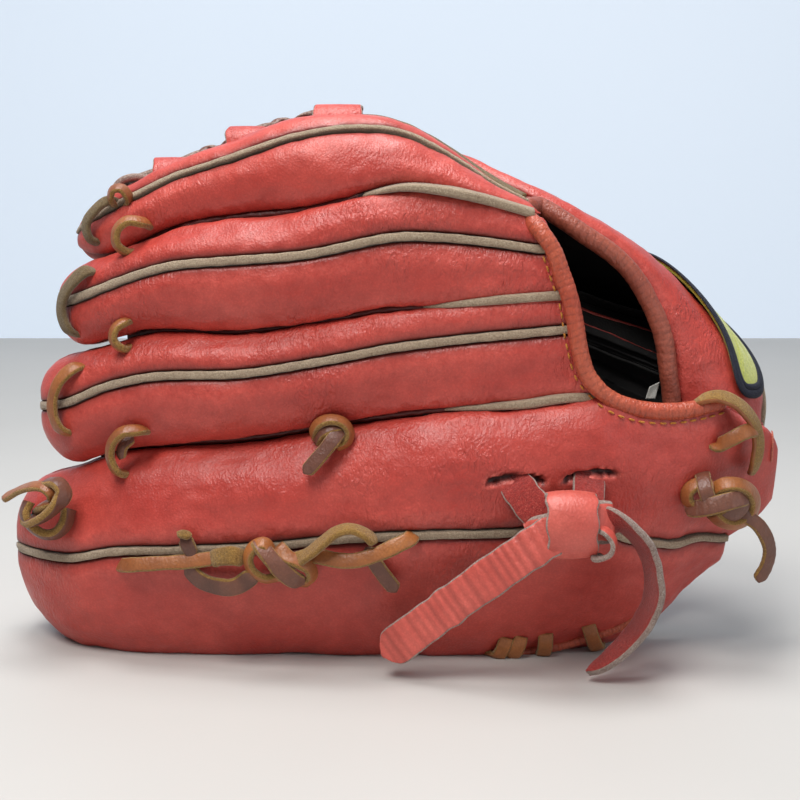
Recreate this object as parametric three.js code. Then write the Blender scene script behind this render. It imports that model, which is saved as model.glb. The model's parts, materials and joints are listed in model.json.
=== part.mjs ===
// A fielder's baseball glove for the left hand, standing on its little-finger side.
// Millimetres. X runs from the fingertips to the wrist, Y from the back of the hand to the palm,
// Z up. The model is laid out about a convenient point, and the whole group is moved at the end so
// that the origin is the middle of the base of its box.
import * as THREE from 'three';

// ---------- driving dimensions ----------
const LEATHER = 2.4;            // outer leather
const LINING = 1.3;             // inner leather against the hand
const LINING_DEPTH = 4.3;       // from the outer skin to the lining
const PALM_LINING_DEPTH = 5.8;  // deeper over the palm, where the skin curves more
const FINGER_GAP = 0.6;         // half of the air between two fingers
const SEAM = 0.022;             // share of a half section left open for the side seam
const WELT_WIDTH = 3.4;         // raised strip sewn in along a finger's ridge
const WELT_PROUD = 1.1;
const WELT_DEEP = 1.9;
const LACE_WIDTH = 5.4;
const LACE_THICK = 2.6;
const STRAP_WIDTH = 15;
const STRAP_THICK = 2.6;
const BINDING_RADIUS = 3.1;     // rolled edge round the hand opening
const STIFFENER_SPACE = 3.6;    // room for the plastic strip inside the little finger
const PAD_THICK = 9;            // felt in the palm

// ---------- materials ----------
const COLOURS = {
  leather: 0xc84b41, welt: 0xa5917a, binding: 0xbe5a48, lace: 0xa06a38, lining: 0x2a2422,
  padding: 0xcfc4ae, stiffener: 0xdad6cc, patch: 0x2c324c, tag: 0xe8e6e0,
};
const material = (slot) => new THREE.MeshStandardMaterial({
  name: slot, color: COLOURS[slot], roughness: 0.62, metalness: 0,
});

// ---------- small helpers ----------
const vec = (x, y, z) => new THREE.Vector3(x, y, z);
const mix = (a, b, t) => a + (b - a) * t;
const clamp01 = (t) => Math.min(1, Math.max(0, t));

// Values given at a few stations of x, joined by a smooth cubic.
function track(stations) {
  const last = stations.length - 1;
  const slope = (k, c) => {
    const a = stations[Math.max(0, k - 1)];
    const b = stations[Math.min(last, k + 1)];
    return (b[c] - a[c]) / (b[0] - a[0]);
  };
  return (x) => {
    const at = Math.min(stations[last][0], Math.max(stations[0][0], x));
    let k = 0;
    while (k < last - 1 && at > stations[k + 1][0]) k += 1;
    const [a, b] = [stations[k], stations[k + 1]];
    const h = b[0] - a[0];
    const t = (at - a[0]) / h;
    return a.slice(1).map((value, i) => {
      const c = i + 1;
      const [m0, m1] = [slope(k, c) * h, slope(k + 1, c) * h];
      return value * (2 * t ** 3 - 3 * t ** 2 + 1) + m0 * (t ** 3 - 2 * t ** 2 + t)
        + b[c] * (-2 * t ** 3 + 3 * t ** 2) + m1 * (t ** 3 - t ** 2);
    });
  };
}

// ---------- closed solids ----------
const group = new THREE.Group();

function addMesh(name, slot, positions, index) {
  let volume = 0;
  const [a, b, c] = [vec(0, 0, 0), vec(0, 0, 0), vec(0, 0, 0)];
  for (let k = 0; k < index.length; k += 3) {
    a.fromArray(positions, index[k] * 3);
    b.fromArray(positions, index[k + 1] * 3);
    c.fromArray(positions, index[k + 2] * 3);
    volume += a.dot(b.cross(c));
  }
  const outward = volume > 0 ? index : index.slice().reverse();
  const geometry = new THREE.BufferGeometry();
  geometry.setAttribute('position', new THREE.Float32BufferAttribute(positions, 3));
  geometry.setIndex(outward);
  geometry.computeVertexNormals();
  const mesh = new THREE.Mesh(geometry, material(slot));
  mesh.name = name;
  group.add(mesh);
}

// A sheet with thickness: place(row, column, depth) gives a point of its outer (depth 0) or inner
// (depth 1) face. keep(row, column) leaves cells out, for slits and holes.
function sheet(name, slot, rows, columns, place, keep = () => true) {
  const positions = [];
  const used = new Map();
  const vertex = (i, j, depth) => {
    const key = `${i},${j},${depth}`;
    if (!used.has(key)) {
      used.set(key, positions.length / 3);
      const p = place(i, j, depth);
      positions.push(p.x, p.y, p.z);
    }
    return used.get(key);
  };
  const index = [];
  const inside = (i, j) => i >= 0 && j >= 0 && i < rows && j < columns && keep(i, j);
  const wall = (i0, j0, i1, j1) => {
    const [a, b, c, d] = [vertex(i0, j0, 0), vertex(i1, j1, 0), vertex(i1, j1, 1), vertex(i0, j0, 1)];
    index.push(a, b, c, a, c, d);
  };
  for (let i = 0; i < rows; i += 1) {
    for (let j = 0; j < columns; j += 1) {
      if (!inside(i, j)) continue;
      const [a, b, c, d] = [[i, j], [i + 1, j], [i + 1, j + 1], [i, j + 1]];
      const outer = [a, b, c, d].map(([r, s]) => vertex(r, s, 0));
      const inner = [a, b, c, d].map(([r, s]) => vertex(r, s, 1));
      index.push(outer[0], outer[2], outer[1], outer[0], outer[3], outer[2]);
      index.push(inner[0], inner[1], inner[2], inner[0], inner[2], inner[3]);
      if (!inside(i, j - 1)) wall(...a, ...b);
      if (!inside(i + 1, j)) wall(...b, ...c);
      if (!inside(i, j + 1)) wall(...c, ...d);
      if (!inside(i - 1, j)) wall(...d, ...a);
    }
  }
  addMesh(name, slot, positions, index);
}

// A lace or strap swept along a smooth line, with its flat side facing the given direction. girth
// gives the section's size at each point, where a knot makes it fatter.
function sweep(name, slot, route, { width, thick, sides = 8, steps = 3, face = vec(0, -1, 0), girth }) {
  const points = route.map((p) => (p.isVector3 ? p : vec(...p)));
  const sizes = girth ? track(girth.map((value, k) => [k / (girth.length - 1), value])) : () => [1];
  const curve = new THREE.CatmullRomCurve3(points, false, 'centripetal');
  const count = Math.min(80, (points.length - 1) * steps);
  const positions = [];
  const index = [];
  const up = face.clone();
  for (let i = 0; i <= count; i += 1) {
    const centre = curve.getPoint(i / count);
    const along = curve.getTangent(i / count);
    up.addScaledVector(along, -up.dot(along)).normalize();
    const across = along.clone().cross(up).normalize();
    const size = 0.54 * sizes(i / count)[0];
    for (let s = 0; s < sides; s += 1) {
      const angle = (2 * Math.PI * (s + 0.5)) / sides;
      const p = centre.clone().addScaledVector(across, size * width * Math.cos(angle))
        .addScaledVector(up, size * thick * Math.sin(angle));
      positions.push(p.x, p.y, Math.max(0, p.z));
    }
  }
  for (let i = 0; i < count; i += 1) {
    for (let s = 0; s < sides; s += 1) {
      const [a, b] = [i * sides + s, i * sides + (s + 1) % sides];
      index.push(a, b, b + sides, a, b + sides, a + sides);
    }
  }
  const end = count * sides;
  for (let s = 1; s < sides - 1; s += 1) {
    index.push(0, s + 1, s, end, end + s, end + s + 1);
  }
  addMesh(name, slot, positions, index);
}

// ---------- the four fingers ----------
// Seams between the fingers on the back of the hand: x, y, z. The first runs under the little
// finger, the last along the top of the index finger.
const BACK_SEAMS = [
  [[-165, 40, 5], [-140, 35, -3], [-110, 31, -6], [0, 31, -7], [60, 33, -6], [90, 31, 1],
    [105, 27, 10], [118, 24, 25], [132, 22, 36], [146, 22, 48], [156, 26, 62]],
  [[-165, 42, 76], [-137, 31, 76], [-116, 24, 84], [-90, 17, 88], [-57, 11, 92], [-22, 6, 99],
    [12, -2, 105], [45, -6, 108], [75, -7, 111], [90, -7, 103], [110, -5, 101], [130, 0, 103],
    [145, 8, 98], [156, 18, 88]],
  [[-151, 38, 125], [-134, 30, 124], [-114, 23, 130], [-97, 18, 134], [-64, 11, 134.5], [-32, 6, 139],
    [-8, 0, 144], [12, -3, 146], [39, -6, 149], [66, -7, 151]],
  [[-142, 42, 160], [-122, 32, 162], [-105, 26, 168], [-88, 21, 175], [-67, 16, 179], [-39, 10, 182],
    [-22, 6, 186], [0, 1, 191], [16, -1, 190], [31, -3, 187], [52, -3, 181]],
  [[-135, 50, 178], [-124, 48, 184], [-108, 45, 190], [-91, 42, 196], [-74, 39, 203], [-57, 36, 209],
    [-40, 34, 214], [-16, 32, 216], [0, 30, 213], [16, 27, 205], [37, 18, 191], [52, 8, 183]],
].map(track);
// The same seams on the palm: they share the fingers' seams and then spread over the palm.
const PALM_SEAMS = [
  [[-165, 41, 5], [-140, 36, -3], [-110, 32, -6], [0, 32, -7], [60, 35, -7], [90, 38, -2],
    [106, 40, 8]],
  [[-165, 42, 76], [-137, 32, 76], [-116, 25, 84], [-90, 18, 88], [-57, 13, 92], [-22, 16, 98],
    [5, 32, 94], [40, 43, 86], [80, 47, 78], [128, 45, 64]],
  [[-151, 38, 125], [-134, 31, 124], [-114, 24, 130], [-97, 19, 134], [-64, 13, 134.5], [-32, 15, 138],
    [-5, 30, 138], [15, 39, 130], [45, 45, 114], [85, 47, 98], [132, 42, 80]],
  [[-142, 42, 160], [-122, 33, 162], [-105, 27, 168], [-88, 22, 175], [-67, 17, 179], [-39, 15, 181],
    [-20, 24, 180], [0, 38, 168], [40, 46, 140], [80, 45, 120], [134, 36, 97]],
  [[-135, 50, 178], [-124, 49, 184], [-108, 46, 190], [-91, 43, 196], [-74, 41, 203], [-57, 39, 208],
    [-40, 38, 210], [-22, 40, 203], [-5, 46, 186], [10, 48, 162], [40, 43, 150], [80, 35, 134],
    [131, 25, 114]],
].map(track);

// For each finger: the end of its tip, the length of its rounding, the ridge's place between the
// two side seams, and how far it bulges on the back and on the palm at stations of x.
const FINGERS = {
  pinky: {
    seam: 0, tip: -165, round: 34,
    ridge: [[-165, 0.5], [-140, 0.54], [-80, 0.57], [40, 0.58], [89, 0.55], [118, 0.45], [134, 0.32]],
    bulge: [[-165, 20, 16], [-120, 27, 22], [-60, 28, 24], [0, 28, 24], [60, 25, 18], [100, 18, 12],
      [130, 9, 8], [156, 5, 6]],
  },
  ring: {
    seam: 1, tip: -151, round: 25,
    ridge: [[-151, 0.52], [-120, 0.58], [70, 0.6]],
    bulge: [[-151, 16, 14], [-110, 16, 17], [-60, 15, 18], [-20, 11, 15], [10, 6, 9], [40, 3, 3],
      [130, 2, 2]],
  },
  middle: {
    seam: 2, tip: -142, round: 24,
    ridge: [[-142, 0.5], [-110, 0.56], [60, 0.54]],
    bulge: [[-142, 15, 14], [-110, 16, 17], [-60, 15, 18], [-20, 11, 15], [10, 6, 9], [40, 3, 3],
      [130, 2, 2]],
  },
  index: {
    seam: 3, tip: -135, round: 22,
    ridge: [[-135, 0.5], [-100, 0.52], [-75, 0.5], [-40, 0.56], [0, 0.55], [52, 0.6]],
    bulge: [[-135, 12, 12], [-100, 14, 16], [-60, 16, 17], [-30, 16, 15], [0, 11, 9], [30, 5, 4],
      [52, 3, 3], [130, 2, 2]],
  },
};
const NAMES = Object.keys(FINGERS);
NAMES.forEach((name) => {
  FINGERS[name].ridge = track(FINGERS[name].ridge);
  FINGERS[name].bulge = track(FINGERS[name].bulge);
});
const ROUNDNESS = 2.3;
const BACK = 0;
const PALM = 1;

// A point of a finger's skin: x along it, turn from 0 at its lower seam to 1 at its upper seam.
function skin(name, side, x, turn) {
  const finger = FINGERS[name];
  const seams = side === BACK ? BACK_SEAMS : PALM_SEAMS;
  const [y0, z0] = seams[finger.seam](x);
  const [y1, z1] = seams[finger.seam + 1](x);
  const along = clamp01((x - finger.tip) / finger.round);
  const taper = Math.max(0.02, 1 - (1 - along) ** ROUNDNESS) ** (1 / ROUNDNESS);
  const [hy, hz] = [(y1 - y0) / 2, (z1 - z0) / 2];
  const chord = Math.hypot(hy, hz);
  const shrink = (taper * Math.max(1, chord - FINGER_GAP)) / chord;
  const angle = Math.PI * turn;
  const cosine = Math.cos(angle);
  const across = -Math.sign(cosine) * Math.abs(cosine) ** (2 / ROUNDNESS) * shrink;
  const out = Math.max(0, Math.sin(angle)) ** (2 / ROUNDNESS) * finger.bulge(x)[side] * taper;
  const facing = side === BACK ? 1 : -1;
  return vec(
    x,
    (y0 + y1) / 2 + hy * across - (facing * out * hz) / chord,
    (z0 + z1) / 2 + hz * across + (facing * out * hy) / chord,
  );
}

// The same point moved inward along the skin's normal (outward when depth is negative). The
// glove rests flat on the ground, so each layer stops its own depth above it.
function below(name, side, x, turn, depth) {
  const step = 0.004;
  const a = skin(name, side, x, Math.max(0, turn - step));
  const b = skin(name, side, x, Math.min(1, turn + step));
  const c = skin(name, side, x - 0.6, turn);
  const d = skin(name, side, x + 0.6, turn);
  const normal = b.sub(a).cross(d.sub(c)).normalize();
  const sign = side === BACK ? 1 : -1;
  const p = skin(name, side, x, turn).addScaledVector(normal, sign * depth);
  p.z = Math.max(p.z, depth, 0);
  return p;
}

// How much of a turn covers a width in millimetres.
function turnFor(name, x, turn, width) {
  return (0.01 * width) / skin(name, BACK, x, turn - 0.005).distanceTo(skin(name, BACK, x, turn + 0.005));
}

// Stations of x: close together round the tip, then even up to the given end.
function stations(name, end, count) {
  const { tip, round } = FINGERS[name];
  const list = [22, 45, 67].map((degrees) => tip + round * (1 - Math.cos((degrees * Math.PI) / 180)));
  for (let k = 0; k <= count; k += 1) list.push(mix(tip + round, end, k / count));
  return list;
}

// Where the back panels and the ridge welts stop, by finger.
const PANEL_END = { pinky: 154, ring: 58, middle: 52, index: 42 };
const RIDGE_END = { ...PANEL_END, pinky: 134 };
const PANEL_STEPS = 9;
// On the upper three fingers the ends slope with the hand opening: x at the lower and upper seam.
const OPENING_EDGE = { ring: [72, 57.5], middle: [57.5, 49.5], index: [49.5, 43.5] };
function toOpening(name, x, turn) {
  if (!OPENING_EDGE[name]) return x;
  const share = clamp01((x - 5) / (PANEL_END[name] - 5));
  return x + share * (mix(...OPENING_EDGE[name], turn) - PANEL_END[name]);
}

// One half of a finger's back, between a side seam and the ridge welt.
function halfPanel(name, half, end) {
  const ridgeEnd = RIDGE_END[name];
  const list = stations(name, ridgeEnd, PANEL_STEPS);
  if (end > ridgeEnd) list.push(ridgeEnd + 0.5, mix(ridgeEnd, end, 0.5), end);
  const columns = name === 'pinky' ? 6 : 4;
  sheet(`${name}_back_${half}_panel`, 'leather', list.length - 1, columns, (i, j, depth) => {
    const x = list[i];
    const ridge = FINGERS[name].ridge(x)[0];
    const gap = x > ridgeEnd ? 0 : turnFor(name, x, ridge, WELT_WIDTH / 2 + 0.5);
    const [from, to] = half === 'lower' ? [SEAM, ridge - gap] : [ridge + gap, 1 - SEAM];
    const turn = mix(from, to, j / columns);
    return below(name, BACK, toOpening(name, x, turn), turn, depth * LEATHER);
  });
}

// The raised strip along a finger's ridge.
function ridgeWelt(name) {
  const list = stations(name, RIDGE_END[name], PANEL_STEPS);
  sheet(`${name}_ridge_welt`, 'welt', list.length - 1, 1, (i, j, depth) => {
    const x = list[i];
    const ridge = FINGERS[name].ridge(x)[0];
    const turn = ridge + (2 * j - 1) * turnFor(name, x, ridge, WELT_WIDTH / 2);
    return below(name, BACK, toOpening(name, x, turn), turn, mix(-WELT_PROUD, WELT_DEEP, depth));
  });
}

NAMES.forEach((name) => {
  halfPanel(name, 'lower', name === 'pinky' ? RIDGE_END.pinky : PANEL_END[name]);
  halfPanel(name, 'upper', PANEL_END[name]);
  ridgeWelt(name);
});

// Short welts from each crotch to the edge of the hand opening, sewn into the seam's groove.
[['pinky_ring_short_welt', 1, 16, 76], ['ring_middle_short_welt', 2, 8, 60],
  ['middle_index_short_welt', 3, -16, 50]].forEach(([name, seam, start, end]) => {
  sheet(name, 'welt', 4, 1, (i, j, depth) => {
    const x = mix(start, end, i / 4);
    const [y, z] = BACK_SEAMS[seam](x);
    const rise = FINGERS[NAMES[seam]].bulge(x)[BACK];
    return vec(x, y - mix(0.75 * rise + 0.4, 0.75 * rise - 1.6, depth), z + (j - 0.5) * 0.9);
  });
});

// Sheets that run over all four fingers: slit between the fingers, joined past the crotches.
const STEPS_ACROSS = 6;
function handSheet(name, slot, side, from, to, crotch, ends, rows, edge) {
  const list = [0.06, 0.2, 0.45, 0.75, 1];
  const columns = 4 * (STEPS_ACROSS + 1) - 1;
  const tipRows = list.length;
  sheet(name, slot, tipRows - 1 + rows, columns, (i, j, depth) => {
    const finger = Math.floor(j / (STEPS_ACROSS + 1));
    const step = j % (STEPS_ACROSS + 1);
    const part = FINGERS[NAMES[finger]];
    const turn = mix(edge, 1 - edge, step / STEPS_ACROSS);
    const end = mix(ends[finger], ends[finger + 1], step / STEPS_ACROSS);
    const x = i < tipRows
      ? part.tip + part.round * list[i]
      : mix(part.tip + part.round, end, (i - tipRows + 1) / rows);
    const deeper = side === BACK && NAMES[finger] === 'pinky' ? STIFFENER_SPACE : 0;
    return below(NAMES[finger], side, x, turn, mix(from, to, depth) + deeper);
  }, (i, j) => {
    const between = j % (STEPS_ACROSS + 1) === STEPS_ACROSS;
    return !between || i - tipRows + 1 >= crotch * rows;
  });
}

const HEEL_ENDS = [104, 126, 131, 133, 129];
handSheet('palm_shell', 'leather', PALM, 0, 2.6, 0.55, HEEL_ENDS, 12, SEAM);
handSheet('palm_lining', 'lining', PALM, PALM_LINING_DEPTH, PALM_LINING_DEPTH + LINING, 0.55,
  [92, 112, 118, 120, 118], 12, 0.07);
handSheet('back_lining', 'lining', BACK, LINING_DEPTH, LINING_DEPTH + LINING, 0.72,
  [90, 60, 56, 50, 44], 12, 0.07);

// A block of felt or stiffener that follows a finger's skin at some depth.
function inlay(name, slot, finger, side, [x0, x1], [turn0, turn1], [top, bottom], rows, columns) {
  sheet(name, slot, rows, columns, (i, j, depth) => {
    const rounded = 0.12 * Math.abs((2 * i) / rows - 1) ** 3;
    const turn = mix(turn0 + rounded, turn1 - rounded, j / columns);
    return below(finger, side, mix(x0, x1, i / rows), turn, mix(top, bottom, depth));
  });
}
const INNER = PALM_LINING_DEPTH + LINING + 1.4;
inlay('palm_pad', 'padding', 'ring', PALM, [24, 104], [0.12, 0.92], [INNER, INNER + PAD_THICK - 3], 5, 3);
inlay('pinky_heel_pad', 'padding', 'pinky', PALM, [10, 86], [0.24, 0.86], [INNER, INNER + PAD_THICK], 5, 3);
inlay('pinky_stiffener', 'stiffener', 'pinky', BACK, [-110, 60], [0.16, 0.48], [5, 6.2], 10, 4);

// ---------- the thumb side ----------
// Stations from the wrist to the tip: near edge on the back, inner edge on the palm side, outer
// seam, and how far the thumb bulges outward and toward the pocket.
const THUMB = [
  { near: [114, 11, 92], fold: [139, 25, 97], seam: [148, 44, 80], bulge: [17, 4] },
  { near: [110, 12, 107], fold: [134, 31, 117], seam: [147, 58, 96], bulge: [22, 4] },
  { near: [107, 12, 131], fold: [108, 38, 131], seam: [136, 77, 108], bulge: [20, 6] },
  { near: [92, 14, 160], fold: [80, 43, 140], seam: [114, 92, 118], bulge: [16, 8] },
  { near: [66, 16, 179], fold: [52, 49, 152], seam: [82, 101, 126], bulge: [15, 9] },
  { near: [46, 24, 190], fold: [26, 55, 162], seam: [47, 106, 134], bulge: [15, 10] },
  { near: [18, 40, 203], fold: [2, 60, 176], seam: [10, 109, 142], bulge: [15, 10] },
  { near: [-14, 56, 206], fold: [-15, 65, 196], seam: [-24, 111, 149], bulge: [15, 10] },
  { near: [-42, 70, 203], fold: [-42, 72, 199], seam: [-52, 112, 155], bulge: [14, 11] },
  { near: [-68, 84, 196], fold: [-68, 86, 193], seam: [-75, 111, 161], bulge: [12, 10] },
  { near: [-84, 95, 187], fold: [-84, 96, 185], seam: [-88, 106, 168], bulge: [6, 6] },
];
const thumbLine = (key) => {
  const curve = new THREE.CatmullRomCurve3(THUMB.map((row) => vec(...row[key])), false, 'centripetal');
  return (u) => curve.getPoint(clamp01(u));
};
const THUMB_LINES = { near: thumbLine('near'), fold: thumbLine('fold'), seam: thumbLine('seam') };
const thumbBulge = track(THUMB.map((row, k) => [k / (THUMB.length - 1), ...row.bulge]));
const POCKET = vec(0, 60, 90);

// A point of the thumb's skin: u from wrist to tip, turn from its inner edge to its outer seam.
function thumbSkin(side, u, turn) {
  const inner = THUMB_LINES[side === BACK ? 'near' : 'fold'];
  const [a, b] = [inner(u), THUMB_LINES.seam(u)];
  const along = inner(u + 0.02).sub(inner(u - 0.02)).add(THUMB_LINES.seam(u + 0.02))
    .sub(THUMB_LINES.seam(u - 0.02));
  const middle = a.clone().lerp(b, 0.5);
  const normal = b.clone().sub(a).cross(along).normalize();
  if (normal.dot(middle.clone().sub(POCKET)) < 0) normal.negate();
  if (side === PALM) normal.negate();
  const angle = Math.PI * turn;
  const cosine = Math.cos(angle);
  const across = 0.5 - 0.5 * Math.sign(cosine) * Math.abs(cosine) ** (2 / ROUNDNESS);
  const out = Math.sin(angle) ** (2 / ROUNDNESS) * thumbBulge(u)[side];
  return a.lerp(b, across).addScaledVector(normal, out);
}

function thumbBelow(side, u, turn, depth) {
  const step = 0.006;
  const a = thumbSkin(side, u, Math.max(0, turn - step));
  const b = thumbSkin(side, u, Math.min(1, turn + step));
  const c = thumbSkin(side, Math.max(0, u - step), turn);
  const d = thumbSkin(side, Math.min(1, u + step), turn);
  const normal = b.sub(a).cross(d.sub(c)).normalize();
  const p = thumbSkin(side, u, turn);
  const outward = p.clone().sub(THUMB_LINES.near(u).lerp(THUMB_LINES.seam(u), 0.5));
  outward.sub(THUMB_LINES.fold(u).sub(THUMB_LINES.near(u)).multiplyScalar(0.5));
  if (normal.dot(outward) < 0) normal.negate();
  return p.addScaledVector(normal, -depth);
}

function thumbSheet(name, slot, side, [u0, u1], [turn0, turn1], [top, bottom], rows, columns) {
  sheet(name, slot, rows, columns, (i, j, depth) => thumbBelow(
    side, mix(u0, u1, i / rows), mix(turn0, turn1, j / columns), mix(top, bottom, depth),
  ));
}
const THUMB_RIDGE = 0.64;
thumbSheet('thumb_back_inner_panel', 'leather', BACK, [0, 1], [0.03, THUMB_RIDGE - 0.03],
  [0, LEATHER], 14, 5);
thumbSheet('thumb_back_outer_panel', 'leather', BACK, [0, 1], [THUMB_RIDGE + 0.03, 0.96],
  [0, LEATHER], 14, 3);
thumbSheet('thumb_ridge_welt', 'welt', BACK, [0, 1], [THUMB_RIDGE - 0.016, THUMB_RIDGE + 0.016],
  [-WELT_PROUD, WELT_DEEP], 14, 1);
thumbSheet('thumb_palm_shell', 'leather', PALM, [0, 1], [0.04, 0.96], [0, LEATHER], 14, 5);
thumbSheet('thumb_lining', 'lining', PALM, [1 / 7, 13 / 14], [0.132, 0.868], [4.4, 4.4 + LINING], 11, 4);
thumbSheet('thumb_heel_pad', 'padding', PALM, [0.16, 0.44], [0.22, 0.64], [INNER, INNER + 6], 4, 3);
thumbSheet('thumb_stiffener', 'stiffener', BACK, [3 / 14, 12 / 14], [0.37, 0.56], [4.2, 5.4], 9, 2);
thumbSheet('emblem_patch', 'patch', BACK, [1 / 14, 4.5 / 14], [0.34, 0.56], [-1.7, -0.5], 7, 3);

// ---------- the web ----------
// It hangs between the top of the index finger and the near edge of the thumb, in two halves that
// meet at the fold line: share 0 is the index edge, 1 the thumb edge; u runs from crotch to top.
const WEB_SPAN = [-16, -122];
function web(u, share, lift) {
  const x = mix(WEB_SPAN[0], WEB_SPAN[1], u);
  const [y, z] = BACK_SEAMS[4](x);
  const index = vec(x, y + 5, z + 2.5);
  const thumb = THUMB_LINES.near(mix(0.71, 0.98, u)).add(vec(0, -5, 3));
  const sag = 7 * Math.sin(Math.PI * share) * (1 - 0.4 * u);
  return index.lerp(thumb, share).add(vec(0, 0, lift - sag));
}
const WEB_GAP = 0.062;
const BAND_PLACES = [0.13, 0.435, 0.71, 0.89];   // share of the way from the crotch to the top
const BAND_SHARE = 0.17;
const WEB_HALVES = { index: [0.04, 0.5 - WEB_GAP], thumb: [0.5 + WEB_GAP, 0.96] };
Object.entries(WEB_HALVES).forEach(([half, [from, to]]) => {
  BAND_PLACES.forEach((middle, k) => {
    sheet(`web_${half}_band_${k + 1}`, 'leather', 2, 3, (i, j, depth) => web(
      mix(middle - BAND_SHARE / 2, middle + BAND_SHARE / 2, i / 2), mix(from, to, j / 3),
      mix(4.6, 1.6, depth),
    ));
  });
  const inner = half === 'index' ? to - 0.22 : from + 0.06;
  sheet(`web_${half}_long_band`, 'leather', 8, 1, (i, j, depth) => web(
    mix(0.03, 0.97, i / 8), inner + 0.16 * j, mix(0.8, -1.8, depth),
  ));
});

// ---------- edges ----------
sweep('opening_binding', 'binding', [[50.5, -3, 188], [57.5, -8.5, 176], [61.5, -10, 162], [65, -11.5, 148],
  [68, -12, 132], [72, -12, 120], [80, -12, 112], [91, -11, 107.5], [103, -10, 106], [115, -8, 107],
  [127, -4, 109.5]], { width: 2 * BINDING_RADIUS, thick: 2 * BINDING_RADIUS, steps: 2 });
const thumbRoll = [0.1, 0.18, 0.26, 0.34, 0.42, 0.5].map((u) => THUMB_LINES.near(u)
  .add(vec(-3.4, -4.4, -2.2)));
sweep('thumb_edge_roll', 'binding', thumbRoll, { width: 6, thick: 6, steps: 2 });

// ---------- laces ----------
const FLAT = { width: LACE_WIDTH, thick: LACE_THICK };
const lace = (name, route, options = {}) => sweep(name, 'lace', route, { ...FLAT, sides: 6, ...options });
lace('ring_tip_lace', [[-130, 11, 119], [-138, 12.5, 110], [-141, 13.5, 101], [-138, 12, 93]]);
lace('middle_tip_lace', [[-124, 14, 157], [-133, 16, 148], [-137, 18, 140], [-136, 17.5, 133]]);
lace('index_tip_lace', [[-115, 23, 186], [-124, 25, 179], [-129, 27, 170]]);
lace('index_middle_lace', [[-99, 13, 176], [-107, 12, 174], [-110, 12, 170], [-106, 8, 164]]);
lace('middle_ring_lace', [[-110, 5, 138], [-111, 5.5, 133], [-106, 4, 128]], { width: 4.5 });
lace('ring_pinky_lace', [[-103, 0, 95], [-111, 1.5, 92], [-115, 3.5, 85], [-111, 1.5, 78]]);
lace('ring_pinky_knot', [[-20, -12, 104], [-26, -15, 100], [-31, -17, 92], [-38, -18.5, 81]],
  { girth: [1.5, 2.1, 1.1, 0.9] });
lace('pinky_tip_knot', [[-134, -3, 66], [-142, 0, 60], [-148, 3, 56], [-154, 8, 60], [-160, 14, 63],
  [-168, 21, 65]], { girth: [1.5, 2.3, 2.4, 1.5, 1, 0.8] });
lace('pinky_side_lace', [[-109, -8, 42], [-92, -12, 44], [-76, -16, 47], [-60, -19, 42], [-45, -20, 47],
  [-33, -20, 50], [-18, -21, 54], [3, -21, 56]], { girth: [1, 1.1, 1.9, 2.1, 1.7, 2, 1.7, 1] });
lace('wrist_lace', [[119, -9, 102], [126, -13, 93], [134, -9, 97], [141, -5.5, 92], [143, -4, 82]]);
lace('wrist_knot', [[115, -18, 75], [124, -17, 75], [133, -11, 69], [141, -5, 63], [150, 4, 56],
  [154, 14, 46], [152, 18, 38]], { girth: [1.3, 2.2, 2.3, 1.3, 1, 1, 0.9] });
lace('heel_lace', [34, 46, 58, 70, 84].map((x, k) => below('pinky', BACK, x, k % 2 ? 0.25 : 0.31, -3)),
  { width: 5 });
const heelEdge = [['pinky', 104.5, 0.12], ['pinky', 115, 0.5], ['pinky', 124.5, 0.88], ['ring', 128.5, 0.5],
  ['middle', 131, 0.3]];
sweep('heel_rim', 'binding', heelEdge.map(([name, x, turn]) => below(name, PALM, x, turn, 1.5)
  .add(vec(5.6, 0, -0.8))), { width: 5.4, thick: 5.4, steps: 3 });
sheet('size_tag', 'tag', 1, 1, (i, j, depth) => vec(98 + 7 * j, 24 + 0.9 * depth, 105 + 8 * i));
const alongWeb = (share, lift) => [0, 0.25, 0.5, 0.75, 1].map((u) => web(u, share, lift));
lace('web_index_lace', alongWeb(-0.045, 0.6), { width: 3, thick: 2.4, steps: 2, face: vec(0, 0, 1) });
lace('web_thumb_lace', alongWeb(1.055, 0.6), { width: 3, thick: 2.4, steps: 2, face: vec(0, 0, 1) });

// ---------- the wrist strap ----------
const STRAP = { width: STRAP_WIDTH, thick: STRAP_THICK, sides: 6 };
sweep('adjusting_strap', 'leather', [[-7, -17, 9], [6, -20, 22], [24, -25, 39], [42, -29, 52], [58, -32, 61],
  [72, -33, 64], [86, -31, 65], [97, -28, 59], [104, -24, 46], [105, -21, 32], [99, -20, 19],
  [90, -20, 11], [81, -20, 6]], {
  ...STRAP, steps: 2, girth: [1, 1, 1, 1, 1.25, 1.35, 1.2, 0.95, 0.95, 0.95, 0.95, 0.95, 0.95],
});
sweep('adjusting_strap_loop', 'leather', [[44, -24.5, 80], [52, -26, 76], [62, -27, 74], [72, -25, 81]],
  { ...STRAP, width: 9, steps: 2, face: vec(0.1, -1, 0) });

// ---------- the part's own frame ----------
const box = new THREE.Box3().setFromObject(group);
const middle = box.getCenter(vec(0, 0, 0));
group.position.set(-middle.x, -middle.y, -box.min.z);
export default group;
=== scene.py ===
"""Looks of the baseball glove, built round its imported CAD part.

Shapes are laid out in millimetres on the glove's own layout axes: X from the fingertips to the
wrist, Y from the back of the hand to the palm, Z up. The hinge's place in the frame says how far
that layout is shifted, and make() turns every piece into metres in the row frame.
"""
import json
import math

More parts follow.
